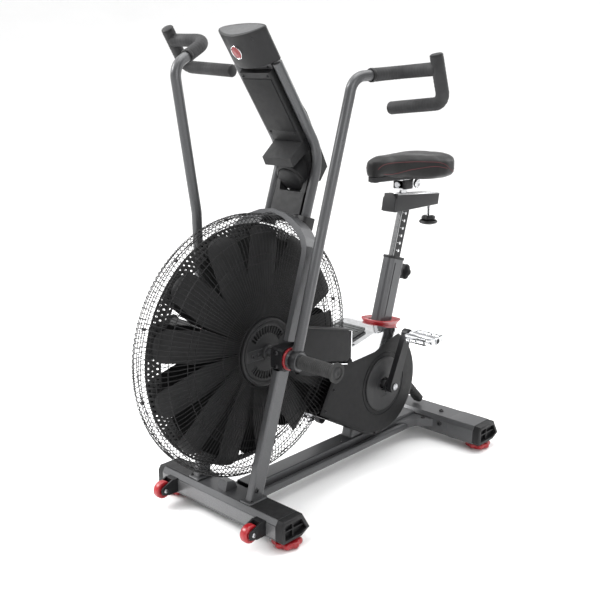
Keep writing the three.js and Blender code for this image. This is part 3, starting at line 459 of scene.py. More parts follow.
def inset(outline, distance):
    """Moves each side of a convex anticlockwise outline inwards."""
    count = len(outline)
    moved = []
    for i, corner in enumerate(outline):
        here, before, after = Vector(corner), Vector(outline[i - 1]), Vector(outline[(i + 1) % count])
        into, out = (here - before).normalized(), (after - here).normalized()
        scale = distance / max(1 + into.dot(out), 0.3)
        moved.append((here.x - (into.y + out.y) * scale, here.y + (into.x + out.x) * scale))
    return moved


def frame_at(origin, turn=0.0, sign=1):
    """Local frame in millimetres: mirrored by sign, turned about X, then moved."""
    return (Matrix.Translation(origin) @ Matrix.Rotation(turn, 4, "X")
            @ Matrix.Diagonal((sign * MM, MM, MM, 1)))


HEAD = frame_at(place(0, *MAST_HEAD), MAST_LEAN)
BEND = frame_at(place(0, *MAST_BEND), MAST_LEAN)
SEAT = frame_at(place(0, *SEAT_TUBE_TOP), -SEAT_LEAN)
LAYOUT = frame_at(place(0, 0, 0))


def block_mesh(outline, low, high, low_edge, high_edge, steps=5, axis="x"):
    """A prism whose two ends are rounded over, by the given edge radius at each."""
    place_on = {"x": lambda a, b, c: (c, a, b), "y": lambda a, b, c: (a, c, b),
                "z": lambda a, b, c: (a, b, c)}[axis]
    rings = [(low, 0)]
    if low_edge:
        rings = [(low + low_edge * (1 - math.cos(PI / 2 * k / steps)),
                  low_edge * (1 - math.sin(PI / 2 * k / steps))) for k in range(steps + 1)]
    if high_edge:
        rings += [(high - high_edge * (1 - math.sin(PI / 2 * k / steps)),
                   high_edge * (1 - math.cos(PI / 2 * k / steps))) for k in range(steps + 1)]
    else:
        rings.append((high, 0))
    verts = []
    for level, pull in rings:
        verts += [Vector(place_on(a, b, level)) for a, b in inset(outline, pull)]
    count = len(outline)
    faces = sheet_grid(len(rings), count, closed_columns=True)
    faces.append(tuple(range(count)))
    faces.append(tuple(range(len(verts) - 1, len(verts) - 1 - count, -1)))
    return verts, faces


def block(name, outline, low, high, look, matrix, low_edge=0, high_edge=0, axis="x"):
    return mesh_piece(name, *block_mesh(outline, low, high, low_edge, high_edge, axis=axis),
                      look, matrix)


def carve(piece, *cutters):
    """Cuts the cutters out of the piece and keeps the result as its mesh."""
    for cutter in cutters:
        modifier = piece.modifiers.new("cut", "BOOLEAN")
        modifier.operation = "DIFFERENCE"
        modifier.solver = "EXACT"
        modifier.object = cutter
    keep_shape(piece)
    for cutter in cutters:
        bpy.data.objects.remove(cutter)
    piece.data.shade_smooth()
    piece.data.set_sharp_from_angle(angle=math.radians(38))
    return piece


def keep_shape(piece):
    """Applies the piece's modifiers to its mesh."""
    bpy.context.view_layer.update()
    shown = piece.evaluated_get(bpy.context.evaluated_depsgraph_get())
    mesh = bpy.data.meshes.new_from_object(shown)
    piece.modifiers.clear()
    piece.data = mesh


def cutter(outline, low, high, axis="x", matrix=LAYOUT):
    return mesh_piece("cutter", *prism_mesh(outline, low, high, axis), PLASTIC, matrix)


def round_cutter(radius, low, high, matrix=LAYOUT, sides=64, axis="x"):
    return cutter(arc(0, 0, radius, 0, 360 - 360 / sides, sides - 1), low, high, axis, matrix)


# ---- base --------------------------------------------------------------------------------
def stabilizer_section(face, depth, grow=0):
    section = [(face + 8, STABILIZER_BOTTOM), (face + depth - 32, STABILIZER_BOTTOM),
               (face + depth, 60), (face + depth - 28, STABILIZER_TOP), (face + 9, STABILIZER_TOP),
               (face, 94), (face, 52)]
    return inset(section, -grow)


def end_caps(kind, face, depth, reach):
    """Moulded end cap: a rounded plug with a deep recess and two ribs across it."""
    for side, sign in SIDES:
        matrix = frame_at(place(0, 0, 0), 0, sign)
        section = stabilizer_section(face, depth)
        cap = block(f"{kind}_end_cap_{side}", section, reach - 23.5, reach, PLASTIC, matrix, 0, 6)
        carve(cap, cutter(inset(section, 11), reach - 14, reach + 5, matrix=matrix))
        rib_y = face + depth * 0.42
        rib = prism_mesh([(rib_y - 2, 46), (rib_y + 2, 46), (rib_y + 2, 104), (rib_y - 2, 104)],
                         reach - 16, reach - 5)
        level = (STABILIZER_TOP + STABILIZER_BOTTOM) / 2
        shelf = prism_mesh([(face + 6, level - 2), (face + depth - 16, level - 2),
                            (face + depth - 16, level + 2), (face + 6, level + 2)],
                           reach - 16, reach - 6)
        fit(cap, "frame", "black_plastic", f"{kind}_cap_{side}")
        ribs = mesh_piece(f"{kind}_cap_ribs_{side}", *merged(rib, shelf), PLASTIC, matrix)
        fit(bevel(ribs, 0.8 * MM, 2), "frame", "black_plastic")


def levelling_feet():
    for end, y in (("front", -323), ("rear", 555)):
        x_reach = {"front": 222, "rear": 246}[end]
        for side, sign in SIDES:
            rings = []
            for z, grow in ((3, -7), (3.5, -4.5), (6, -1.6), (9, 0), (15, 0), (18, -1.6), (20, -5),
                            (20.5, -12)):
                ring = []
                for k in range(96):
                    angle = 2 * PI * k / 96
                    lobes = 0.5 + 0.5 * math.cos(8 * angle)
                    reach = 34.4 + grow + 6.4 * lobes ** 0.7
                    ring.append(Vector((reach * math.cos(angle), reach * math.sin(angle), z)))
                rings += ring
            faces = sheet_grid(8, 96, closed_columns=True)
            faces += [tuple(range(96)), tuple(range(len(rings) - 1, len(rings) - 97, -1))]
            pad = lathe_mesh([(0, 0.01), (0, 27), (1.2, 29), (6, 29), (6, 0.01)], 40)
            stem = lathe_mesh([(18, 0.01), (18, 14), (20, 12), (21.5, 9), (25.8, 9), (25.8, 0.01)], 32)
            upright = Matrix.Rotation(-PI / 2, 4, "Y")
            turned = ([upright @ v for v in pad[0] + stem[0]],
                      merged(pad, stem)[1])
            matrix = Matrix.Translation((sign * x_reach * MM, y * MM, 0)) @ Matrix.Scale(MM, 4)
            knob = mesh_piece(f"levelling_foot_{end}_{side}", *merged((rings, faces), turned), RED,
                              matrix)
            fit(knob, f"foot_{end}_{side}", "red_plastic", f"{end}_foot_{side}")


def transport_wheels():
    tyre = [(-10.5, 21), (-9.5, 23.4), (-7, 24.8), (-3, 25), (3, 25), (7, 24.8), (9.5, 23.4), (10.5, 21),
            (10.5, 17.5), (8.6, 16.6), (8.2, 11), (9.2, 10), (9.2, 4.6), (-9.2, 4.6), (-9.2, 10),
            (-8.2, 11), (-8.6, 16.6), (-10.5, 17.5)]
    for side, _ in SIDES:
        node = f"transport_wheel_{side}"
        at = Matrix.Translation(middle(node)) @ Matrix.Scale(MM, 4)
        wheel = lathe(f"wheel_{side}", tyre, RED, at, 56)
        fit(wheel, f"wheel_{side}", "red_plastic", node)
        bushes = [lathe_mesh([(s * 9.3, 4.7), (s * 12.4, 4.7), (s * 12.4, 8), (s * 11.2, 9), (s * 9.3, 9),
                              (s * 9.3, 4.7)], 32) for s in (-1, 1)]
        bush = mesh_piece(f"wheel_bush_{side}", *merged(*bushes), PLASTIC, at)
        fit(bush, f"wheel_{side}", "black_plastic")
        web = [(30, 25), (30, -17), (12, -17), *arc(0, 0, 14, 282, 108, 9), (28, 26)][::-1]
        ears = [block_mesh(web, s * 15 - 2.8, s * 15 + 2.8, 1, 1, 3) for s in (-1, 1)]
        back = prism_mesh([(27, -17.4), (44.4, -17.4), (44.4, 24.4), (27, 24.4)], -17.6, 17.6)
        fork = mesh_piece(f"wheel_fork_{side}", *merged(*ears, back), BLACK_PAINT, at)
        fit(bevel(fork, 0.7 * MM, 2), "frame", "black_paint")
        for s, end in ((-1, "inner"), (1, "outer")):
            hex_bolt(f"wheel_bolt_{side}_{end}", at @ Vector((s * 17.8, 0, 0)), (s, 0, 0), 6 * MM, "frame")


def base():
    for node in ("front_stabilizer", "rear_stabilizer", "main_beam"):
        polish(node, PAINT, 2.2 * MM, 3)
    end_caps("front", FRONT_FACE_Y, FRONT_DEPTH, 254)
    end_caps("rear", REAR_FACE_Y, REAR_DEPTH, 285)
    levelling_feet()
    transport_wheels()
    # Thin sheet of the lighter paint over the stabilizer's front face: painted light where the key light
    # falls on it.
    plate = block("front_face_painted_light", [(-229, 56), (229, 56), (229, 91), (-229, 91)],
                  FRONT_FACE_Y - 0.9, FRONT_FACE_Y + 0.5, LIT_FACE_PAINT, LAYOUT, 0.5, 0, axis="y")
    fit(plate, "frame", "frame_paint")
    for side, sign in SIDES:
        matrix = frame_at(place(0, 0, 0), 0, sign)
        sleeve = block(f"rear_sleeve_{side}", stabilizer_section(REAR_FACE_Y, REAR_DEPTH, 1.6),
                       164, 260.5, PAINT, matrix, 1.2, 0.8)
        bevel(fit(sleeve, "frame", "frame_paint"), 2.4 * MM, 3, 20)
        # Thin black plastic sheet on the stabilizer top: painted shadow and painted reflection of the cage
        # and leg.
        top = [(FRONT_FACE_Y + 11, 126), (FRONT_FACE_Y + 76, 126), (FRONT_FACE_Y + 76, 229),
               (FRONT_FACE_Y + 11, 229)]
        cover = prism_mesh([(b, a) for a, b in top][::-1], STABILIZER_TOP + 0.1, STABILIZER_TOP + 2.4,
                           axis="z")
        piece = mesh_piece(f"front_top_painted_shade_{side}", *cover, PLASTIC, matrix)
        fit(bevel(piece, 1.2 * MM, 3), "frame", "black_plastic")
        shoe = prism_mesh(shifted(rounded_box(44, 66, 7), 106, -330), STABILIZER_TOP, STABILIZER_TOP + 6,
                          axis="z")
        piece = mesh_piece(f"leg_shoe_{side}", *shoe, PAINT, matrix)
        fit(bevel(piece, 2 * MM, 3), "frame", "frame_paint")
        bolts = {"leg": ((119.6, -333, 140), (1, 0, 0), 7), "rear_top": ((108, 541, 107), (0, 0, 1), 8),
                 "rear_face": ((132, 497, 82), (0, -1, 0), 8), "gusset": ((74, 484, 90), (0, 0, 1), 7),
                 "beam": ((52.6, -262, 71), (1, 0, 0), 6), "shoe": ((122, -352, 113), (0, 0, 1), 5)}
        for name, ((x, y, z), (dx, dy, dz), size) in bolts.items():
            hex_bolt(f"{name}_bolt_{side}", place(sign * x, y, z), (sign * dx, dy, dz), size * MM,
                     "frame", "black_paint", BLACK_PAINT)


# ---- uprights and mast tubes -------------------------------------------------------------
def uprights():
    polish("frame_arch", PAINT, 4 * MM, 4, 30)
    for side, sign in SIDES:
        polish(f"leg_{side}", PAINT, 1.5 * MM, 2, 30)
        polish(f"pivot_block_{side}", BLACK_PAINT, 3 * MM, 3, 30)
        for level in (-19, 17):
            hex_bolt(f"pivot_bolt_{side}_{'low' if level < 0 else 'high'}",
                     FAN + Vector((sign * 139, -27.4, level)) * MM, (0, -1, 0), 6.5 * MM, "frame",
                     "black_paint", BLACK_PAINT)
    tubes = []
    for _, sign in SIDES:
        corners = [(sign * MAST_X, *point) for point in (MAST_FOOT, MAST_BEND, MAST_HEAD)]
        tubes.append(tube_mesh(rounded_path(corners, 110, 14), 13, 36, 1))
    lower = block_mesh([(-MAST_X, 832), (MAST_X, 832), (MAST_X, 848), (-MAST_X, 848)], -92, -84, 1, 1,
                       3, "y")
    tie = prism_mesh(shifted(rounded_box(2 * MAST_X, 4, 1), 0, 13), -45, -8, axis="z")
    local = LAYOUT.inverted() @ HEAD
    upper = ([local @ v for v in tie[0]], tie[1])
    mast = mesh_piece("mast_tubes", *merged(*tubes, lower, upper), PAINT, LAYOUT)
    fit(mast, "frame", "frame_paint", "mast_frame")
    for side, sign in SIDES:
        clamp = block(f"mast_shoe_{side}", rounded_box(34, 44, 8), -14, 20, PLASTIC,
                      frame_at(place(sign * MAST_X, MAST_FOOT[0] + 2, MAST_FOOT[1]), -0.33), 3, 3, "z")
        fit(clamp, "frame", "black_plastic")


# ---- fan and cage ------------------------------------------------------------------------
CAGE_PROFILE = [(75, 96), (75, 200), (69, 300), (61, 328), (48, 346), (29, 356.6), (2.5, 360)]
WIRES = 160
WIRE_RADIUS = 0.95


def cage_line(inwards=0.0):
    corners = [Vector((x, 0, r)) for x, r in CAGE_PROFILE]
    path = rounded_path(corners, 46, 3)
    return [(point.x - inwards, point.z - inwards * 0.6) for point in path]


def ring_mesh(x, r, thick, segments=180):
    section = [(x + thick * math.cos(PI * k / 3), r + thick * math.sin(PI * k / 3)) for k in range(7)]
    return lathe_mesh(section, segments)


def profile_x(radius):
    for (x0, r0), (x1, r1) in zip(CAGE_PROFILE, CAGE_PROFILE[1:]):
        if r0 <= radius <= r1:
            return x0 + (x1 - x0) * (radius - r0) / (r1 - r0)
    return CAGE_PROFILE[-1][0]


def cage_half(side, sign):
    line = cage_line()
    shapes = []
    for i in range(WIRES):
        angle = 2 * PI * (i + (0.25 if sign > 0 else 0.75)) / WIRES
        path = [(x, r * math.cos(angle), r * math.sin(angle)) for x, r in line]
        shapes.append(tube_mesh(path, WIRE_RADIUS, 5))
    for radius in (152, 243, 264):
        shapes.append(ring_mesh(profile_x(radius) - 2, radius, 1.2))
    for x, radius in ((62.5, 319), (46, 343), (27, 354), (4.5, 357)):
        shapes.append(ring_mesh(x, radius, 1.1))
    shapes.append(ring_mesh(73.4, 98, 2.2))
    matrix = Matrix.Translation(FAN) @ Matrix.Diagonal((sign * MM, MM, MM, 1))
    cage = mesh_piece(f"cage_wires_{side}", *merged(*shapes), WIRE, matrix)
    fit(cage, "frame", "black_paint", f"cage_{side}")


def cage_clips():
    clips = []
    for i in range(12):
        turn = Matrix.Rotation(2 * PI * (i + 0.35) / 12, 4, "X")
        clip = block_mesh([(-3.5, 355), (3.5, 355), (3.5, 362), (-3.5, 362)], -5.5, 5.5, 1.2, 1.2, 3)
        clips.append(([turn @ v for v in clip[0]], clip[1]))
    matrix = Matrix.Translation(FAN) @ Matrix.Scale(MM, 4)
    fit(mesh_piece("cage_clips", *merged(*clips), PLASTIC, matrix), "frame", "black_plastic")


def hub_cover(side, sign):
    """Dished cover: raised rim, a fan of vent slots above and below, and a bar across."""
    rim = lathe_mesh([(68.5, 78), (68.5, 92.4), (78, 93), (81, 92.2), (82, 90), (81.6, 86.6), (79, 84.6),
                      (77.4, 82), (76.6, 78), (68.5, 78)], 96)
    rows = [12.6, 22, 34, 47, 52, 71, 76, 80]
    columns = 120
    verts = [Vector((76.8, r * math.cos(2 * PI * k / columns), r * math.sin(2 * PI * k / columns)))
             for r in rows for k in range(columns)]
    faces = []
    for i in range(len(rows) - 1):
        for k in range(columns):
            angle = (360 * (k + 0.5) / columns) % 180
            if i == 4 and 32 < angle < 148 and k % 3 != 0:
                continue
            j = (k + 1) % columns
            faces.append((i * columns + k, i * columns + j, (i + 1) * columns + j,
                          (i + 1) * columns + k))
    matrix = Matrix.Translation(FAN) @ Matrix.Diagonal((sign * MM, MM, MM, 1))
    plate = mesh_piece(f"hub_vents_{side}", verts, faces, PLASTIC, matrix)
    thicken(plate, 3 * MM)
    fit(plate, "frame", "black_plastic")
    fit(mesh_piece(f"hub_rim_{side}", *rim, PLASTIC, matrix), "frame", "black_plastic",
        f"hub_cover_{side}")
    back = lathe(f"hub_back_{side}", [(69, 11.5), (69, 80), (70.6, 80), (70.6, 11.5)], BLACK_PAINT, matrix,
                 64)
    fit(back, "frame", "black_plastic")
    bar = block_mesh(rounded_box(150, 30, 6), 76, 79.6, 0, 1.4, 3)
    boss = lathe_mesh([(76, 10.6), (76, 21), (84.6, 19.6), (86, 18), (86, 10.6), (76, 10.6)], 48)
    fit(mesh_piece(f"hub_bar_{side}", *merged(bar, boss), SOFT_PLASTIC, matrix), "frame",
        "black_plastic")
    for y in (-56, -34, 34, 56):
        hex_bolt(f"hub_bolt_{side}_{'front' if y < 0 else 'rear'}_{abs(y)}",
                 FAN + Vector((sign * 79.6, y, 0)) * MM, (sign, 0, 0), 5.5 * MM, "frame",
                 "black_paint", BLACK_PAINT)


def thicken(piece, thickness, offset=0.0):
    modifier = piece.modifiers.new("wall", "SOLIDIFY")
    modifier.thickness = thickness
    modifier.offset = offset
    return piece


def fan_blades():
    """Two rows of thirteen broad dished blades, folded in to meet the rim band at their tips."""
    rows, columns = 32, 15
    blade = []
    for i in range(rows):
        out = i / (rows - 1)
        for j in range(columns):
            across = 2 * j / (columns - 1) - 1
            tip = 328 - 16 * abs(across) ** 6 - 3 * across ** 2
            r = 56 + (tip - 56) * math.sin(PI / 2 * out)
            half_chord = min(43, 11.5 + 0.234 * (r - 52))
            dish = 5 * (1 - across ** 2) * min(1, out * 2)
            fold = 28 * (1 - math.sqrt(max(0.0, 1 - max(0.0, (r - 286) / 42.2) ** 2)))
            stand = 33 - 0.14 * across * half_chord * (1 - fold / 28)
            blade.append(Vector((stand + dish * (1 - fold / 28) - fold, r, across * half_chord)))
    faces = sheet_grid(rows, columns)
    blades = []
    for i in range(13):
        turn = Matrix.Rotation(2 * PI * i / 13, 4, "X")
        for sign in (-1, 1):
            blades.append(([turn @ Vector((sign * v.x, v.y, v.z)) for v in blade], faces))
    matrix = Matrix.Translation(FAN) @ Matrix.Scale(MM, 4)
    piece = mesh_piece("fan_blades", *merged(*blades), BLADE, matrix)
    fit(bevel(thicken(piece, 2.4 * MM), 0.8 * MM, 2, 50), "fan", "black_paint", "fan_rotor")
    hub = lathe("fan_hub", [(-38, 11), (-41, 30), (-40, 52), (-36, 60), (-28, 62), (28, 62), (36, 60),
                            (40, 52), (41, 30), (38, 11)], BLADE, matrix, 64)
    fit(hub, "fan", "black_paint")


def fan_band():
    """Coned rim band, pierced by three staggered rows of round holes."""
    count, rows = 140, 3
    low, high = (-13, 332), (14, 302)

    def on_band(u, v):
        x = low[0] + (high[0] - low[0]) * v
        r = low[1] + (high[1] - low[1]) * v
        angle = 2 * PI * u / count
        return Vector((x, r * math.cos(angle), r * math.sin(angle)))

    verts, faces = [], []
    for row in range(rows):
        low_v, high_v = 0.07 + row * 0.287, 0.07 + (row + 1) * 0.287
        for k in range(count):
            middle_u = k + 0.5 * (row % 2)
            middle_v = (low_v + high_v) / 2
            first = len(verts)
            edge = [(-0.5, 0), (-0.5, -1), (0, -1), (0.5, -1), (0.5, 0), (0.5, 1), (0, 1), (-0.5, 1)]
            for du, dv in edge:
                verts.append(on_band(middle_u + du, middle_v + dv * (high_v - low_v) / 2))
            for n in range(8):
                angle = PI + PI / 4 * n
                verts.append(on_band(middle_u + 0.2 * math.cos(angle), middle_v + 0.072 * math.sin(angle)))
            for n in range(8):
                m = (n + 1) % 8
                faces.append((first + n, first + m, first + 8 + m, first + 8 + n))
    for v0, v1 in ((0, 0.07), (0.93, 1)):
        first = len(verts)
        steps = count * 2
        verts += [on_band(k / 2, v) for v in (v0, v1) for k in range(steps)]
        faces += [tuple(first + i for i in face) for face in sheet_grid(2, steps, closed_columns=True)]
    matrix = Matrix.Translation(FAN) @ Matrix.Scale(MM, 4)
    band = mesh_piece("fan_band", verts, faces, BLADE, matrix)
    fit(thicken(band, 1.6 * MM), "fan", "black_paint")


def fan_unit():
    polish("fan_axle", STEEL, 1 * MM, 2)
    for side, sign in SIDES:
        cage_half(side, sign)
        hub_cover(side, sign)
    cage_clips()
    fan_blades()
    fan_band()


# ---- arms --------------------------------------------------------------------------------
ARM_KNEE, ARM_BEND, GRIP_BEND = (172, 111, 330), (187, 207, 705), (214, 362, 716)
CROSS_JOINT, CROSS_TOP = (343, 348, 725), (343, 343, 758)
CROSS_CORNER, CROSS_END = (353, 370, 640), (176, 382, 623)


def between(start, end, share):
    return tuple(Vector(start).lerp(Vector(end), share))


def grip_mesh(path, radius):
    """Foam sleeve: a soft lip at each end and shallow finger grooves along it."""
    path = [Vector(p) for p in path]
    fine = [path[0]]
    for start, end in zip(path, path[1:]):
        steps = max(1, round((end - start).length / 2.5))
        fine += [start.lerp(end, (k + 1) / steps) for k in range(steps)]
    total = len(fine) - 1
    verts = []
    for i, (point, side, up) in enumerate(stations(fine)):
        edge = min(i, total - i)
        size = radius * (0.9 + 0.1 * math.sin(min(edge, 3) / 3 * PI / 2))
        if edge > 4 and i % 4 == 0:
            size -= 0.5
        for k in range(28):
            angle = 2 * PI * k / 28
            verts.append(point + (side * math.cos(angle) + up * math.sin(angle)) * size)
    faces = sheet_grid(len(fine), 28, closed_columns=True)
    faces += [tuple(range(28)), tuple(range(len(verts) - 1, len(verts) - 29, -1))]
    return verts, faces


def arm(side, sign):
    swing = {"left": 0.0, "right": math.radians(21.6)}[side]
    matrix = frame_at(FAN, swing, sign)
    body = ARM_BODY[side]
    grip_start = between(ARM_BEND, GRIP_BEND, 0.42)
    bar = tube_mesh(rounded_path([(183, 3, 12), ARM_KNEE, ARM_BEND, GRIP_BEND, CROSS_JOINT], 48, 12),
                    14, 36)
    hub = lathe_mesh([(161, 13), (161, 23.6), (162.4, 25), (198.6, 25), (200, 23.6), (200, 13),
                      (161, 13)], 56)
    tube_piece = mesh_piece(f"arm_tube_{side}", *merged(bar, hub), PAINT, matrix)
    fit(tube_piece, body, "frame_paint", f"arm_{side}")
    upper = rounded_path([grip_start, GRIP_BEND, CROSS_JOINT], 48, 10)
    lower = rounded_path([CROSS_TOP, CROSS_CORNER, CROSS_END], 30, 10)
    sleeves = merged(grip_mesh(upper, 17.5), grip_mesh(lower, 17.5))
    fit(mesh_piece(f"grip_{side}", *sleeves, GRIP, matrix), body, "rubber", f"handgrip_{side}")
    collar = Vector(GRIP_BEND) - Vector(ARM_BEND)
    ring = lathe_mesh([(-5, 14.1), (-5, 17.2), (-3.6, 18.2), (3.6, 18.2), (5, 17.2), (5, 14.1), (-5, 14.1)],
                      40)
    start = along(collar, Vector(grip_start) - collar.normalized() * 4)
    fit(mesh_piece(f"grip_ring_{side}", [start @ v for v in ring[0]], ring[1], PLASTIC, matrix),
        body, "black_plastic")
    ends = []
    for tip, toward in ((CROSS_TOP, CROSS_CORNER), (CROSS_END, CROSS_CORNER)):
        out = (Vector(tip) - Vector(toward)).normalized()
        cap = lathe_mesh([(-3, 0.01), (-3, 16.6), (1, 17.6), (4.4, 16.4), (6.4, 12.5), (7, 0.01)], 36)
        at = along(out, Vector(tip) - out * 2)
        ends.append(([at @ v for v in cap[0]], cap[1]))
    fit(mesh_piece(f"grip_caps_{side}", *merged(*ends), PLASTIC, matrix), body, "black_plastic")
    red = lathe(f"arm_ring_{side}", [(160.6, 25.4), (160.6, 28.4), (162, 30), (166, 30), (167.4, 28.6),
                                     (167.4, 25.4)], ACCENT, matrix, 56)
    fit(red, body, "red_plastic")
    boss = lathe(f"arm_boss_{side}", [(178, 25.2), (178, 27), (180, 28), (196, 28), (199.6, 26.4),
                                      (199.6, 25.2)], BLACK_PAINT, matrix, 56)
    fit(boss, body, "black_paint")


def foot_peg(side, sign):
    matrix = frame_at(FAN, 0, sign)
    profile = [(201, 12), (201, 17), (203, 19)]
    for k in range(18):
        x = 206 + k * 6
        profile += [(x, 19), (x + 1, 18.1), (x + 2, 18.1), (x + 3, 19)]
    profile += [(315, 19), (316, 24.6), (317.6, 26), (323, 26), (325, 24.2), (325, 18), (322.6, 16.6),
                (322.4, 12)]
    peg = lathe(f"foot_peg_sleeve_{side}", profile, RUBBER, matrix, 48)
    fit(peg, "frame", "black_plastic", f"foot_peg_{side}")
    centre = lathe(f"foot_peg_centre_{side}", [(318, 0.01), (322.4, 0.01), (322.8, 5), (323.6, 6.4),
                                               (323.8, 10),
                                               (323, 14.6), (322, 16.2), (318, 16.2)], PLASTIC, matrix, 40,
                   closed=False)
    fit(centre, "frame", "black_plastic")
    pin = lathe(f"arm_pivot_pin_{side}", [(117, 0.01), (117, 11.4), (118.4, 12), (202, 12), (202, 0.01)],
                STEEL, matrix, 32, closed=False)
    fit(pin, "frame", "steel")


def arms():
    for side, sign in SIDES:
        arm(side, sign)
        foot_peg(side, sign)


# ---- drive -------------------------------------------------------------------------------
def crank_side(side, sign):
    polish(f"crank_arm_{side}", BLACK_PAINT, 4 * MM, 4, 50)
    matrix = frame_at(CRANK, 0, sign)
    cap = lathe(f"crank_cap_{side}", [(128.1, 0.01), (128.1, 9), (129.6, 10.6), (131.4, 10.2), (132, 8.4),
                                      (130.6, 6.4), (130.2, 0.01)], STEEL, matrix, 40, closed=False)
    fit(cap, "crank", "steel")
    boss = lathe(f"crank_boss_{side}", [(104, 12.2), (104, 22), (106, 24.4), (109.7, 24.4), (109.7, 12.2)],
                 BLACK_PAINT, matrix, 48)
    fit(boss, "crank", "black_paint")
    end = Matrix.Translation((0, *joint_at[f"pedal_{side}_spin"].yz)) @ Matrix.Diagonal((sign * MM, MM, MM,
                                                                                         1))
    eye = lathe(f"crank_eye_{side}", [(108, 7.4), (108, 14), (109.4, 16), (129, 16), (131, 14), (131, 7.4)],
                BLACK_PAINT, end, 48)
    fit(eye, "crank", "black_paint")


def pedal(side):
    """Cage pedal: two thin chrome frames joined by posts round a barrel in the steel look."""
    node = f"pedal_{side}"
    at = Matrix.Translation(joint_at[f"pedal_{side}_spin"])
    centre = middle(node)
    matrix = Matrix.Translation((centre.x, at.translation.y, at.translation.z)) @ Matrix.Scale(MM, 4)
    shapes = []
    length, width = 96, 84
    outer, inner = rounded_box(length, width, 14, 6), rounded_box(length - 7, width - 7, 11, 6)
    for low, high in ((-9, -4.6), (4.6, 9)):
        count = len(outer)
        verts = [Vector((a, b, z)) for z in (low, high) for a, b in outer + inner]
        faces = []
        for k in range(count):
            j = (k + 1) % count
            faces += [(k, j, 2 * count + j, 2 * count + k),
                      (count + k, count + j, 3 * count + j, 3 * count + k),
                      (k, j, count + j, count + k),
                      (2 * count + k, 2 * count + j, 3 * count + j, 3 * count + k)]
        shapes.append((verts, faces))
    for x in (-30, 0, 30):
        for y in (-1, 1):
            post = rounded_box(7, 3.4, 1, 2)
            shapes.append(prism_mesh(shifted(post, x, y * (width / 2 - 1.8)), -5, 5, axis="z"))
    for x in (-1, 1):
        post = rounded_box(3.4, 46, 1, 2)
        shapes.append(prism_mesh(shifted(post, x * (length / 2 - 1.8), 0), -5, 5, axis="z"))
        for y in (-24, 24):
            shapes.append(prism_mesh(shifted(rounded_box(length - 6, 3, 1, 2), 0, y), -5.6, 5.6, axis="z"))
    teeth = []
    for k in range(9):
        for y in (-1, 1):
            tooth = [(-2.6, 8.6), (2.6, 8.6), (0.8, 10.8), (-0.8, 10.8)]
            teeth.append(prism_mesh(shifted(tooth, k * 9 - 36, 0), y * 40.2 - 1.4, y * 40.2 + 1.4, "y"))
            low = [(a, -b) for a, b in tooth][::-1]
            teeth.append(prism_mesh(shifted(low, k * 9 - 36, 0), y * 40.2 - 1.4, y * 40.2 + 1.4, "y"))
    frame_piece = mesh_piece(f"pedal_cage_{side}", *merged(*shapes, *teeth), CHROME, matrix)
    fit(bevel(frame_piece, 0.5 * MM, 2, 50), PEDAL_BODY[side], "chrome", node)
    barrel = lathe(f"pedal_barrel_{side}", [(-51, 7.8), (-51, 10), (-49, 12), (-44, 12), (-42, 10.6),
                                            (42, 10.6),
                                            (44, 12), (47, 12), (51, 10), (51, 7.8)], STEEL, matrix, 40)
    fit(barrel, PEDAL_BODY[side], "steel")


def drive():
    polish("drive_belt", RUBBER, 0.6 * MM, 1)
    polish("belt_cover", PLASTIC, 1.4 * MM, 2, 50)
    polish("crank_pulley", STEEL, 1 * MM, 2)
    for side, sign in SIDES:
        crank_side(side, sign)
        pedal(side)


# ---- shroud ------------------------------------------------------------------------------
CRANK_Y, CRANK_Z, SHROUD_RADIUS = 250, 277, 166


def shroud_outline():
    low, mid, high = (-45, 254), (8, 345), (58, 391)

    def touch(point, side):
        dy, dz = point[0] - CRANK_Y, point[1] - CRANK_Z
        return math.degrees(math.atan2(dz, dy)
                            + side * math.acos(SHROUD_RADIUS / math.hypot(dy, dz)))

    curve = arc(CRANK_Y, CRANK_Z, SHROUD_RADIUS, touch(low, 1), touch(high, -1), 84)
    return [*curve, high, mid, low]


def shroud_half(side, sign):
    matrix = frame_at(place(0, 0, 0), 0, sign)
    outline = shroud_outline()
    half = block(f"shroud_shell_{side}", outline, 0.3, SHROUD_HALF_WIDTH, SHELL, matrix, 0, 14)
    pocket = cutter(inset(outline, 4), -1, SHROUD_HALF_WIDTH - 14, matrix=matrix)
    inner = cutter(inset(outline, 14), SHROUD_HALF_WIDTH - 15, SHROUD_HALF_WIDTH - 4, matrix=matrix)
    cage_space = round_cutter(367, -1, SHROUD_HALF_WIDTH - 4, frame_at(FAN, 0, sign), 96)
    axle_hole = round_cutter(16, 20, SHROUD_HALF_WIDTH + 2, frame_at(CRANK, 0, sign))
    groove = lathe("cutter", [(81.6, 98), (84, 97), (84, 101), (81.6, 100)], SHELL,
                   frame_at(CRANK, 0, sign), 96)
    tube_hole = cutter(rounded_box(56, 96, 14), -260, -150, "z", SEAT)
    foot_hole = cutter(rounded_box(60, 108, 4), 100, 190, "z", frame_at(place(0, 208, 0), 0, sign))
    carve(half, pocket, inner, cage_space, axle_hole, groove, tube_hole, foot_hole)
    fit(half, "frame", "black_plastic", f"shroud_{side}")
    disc = [(82.4, 22), (82.4, 84), (84.6, 85.4), (86.4, 84.6), (87, 82), (86.6, 78), (85.8, 66), (85.6, 44),
            (86.2, 36), (87, 34), (87, 22)]
    cover = lathe(f"crank_disc_{side}", disc, SOFT_PLASTIC if sign > 0 else PLASTIC,
                  frame_at(CRANK, 0, sign), 96)
    fit(cover, "frame", "black_plastic")
    for number, (y, z) in enumerate(((-18, 262), (52, 150), (214, 121), (18, 318))):
        hex_bolt(f"shroud_screw_{side}_{number}", place(sign * 83, y, z), (sign, 0, 0), 4.6 * MM, "frame",
                 "black_paint", BLACK_PAINT)


def shroud_seam():
    """Line where the shroud halves meet, left out where the seat post passes through it."""
    lower_points = 85
    top = 375
    line = [(0, y, z) for y, z in shroud_outline()[:lower_points] if z < top]
    seam = tube_mesh(line, 1.3, 6)
    fit(mesh_piece("shroud_seam", *seam, BLACK_PAINT, LAYOUT), "frame", "black_plastic")


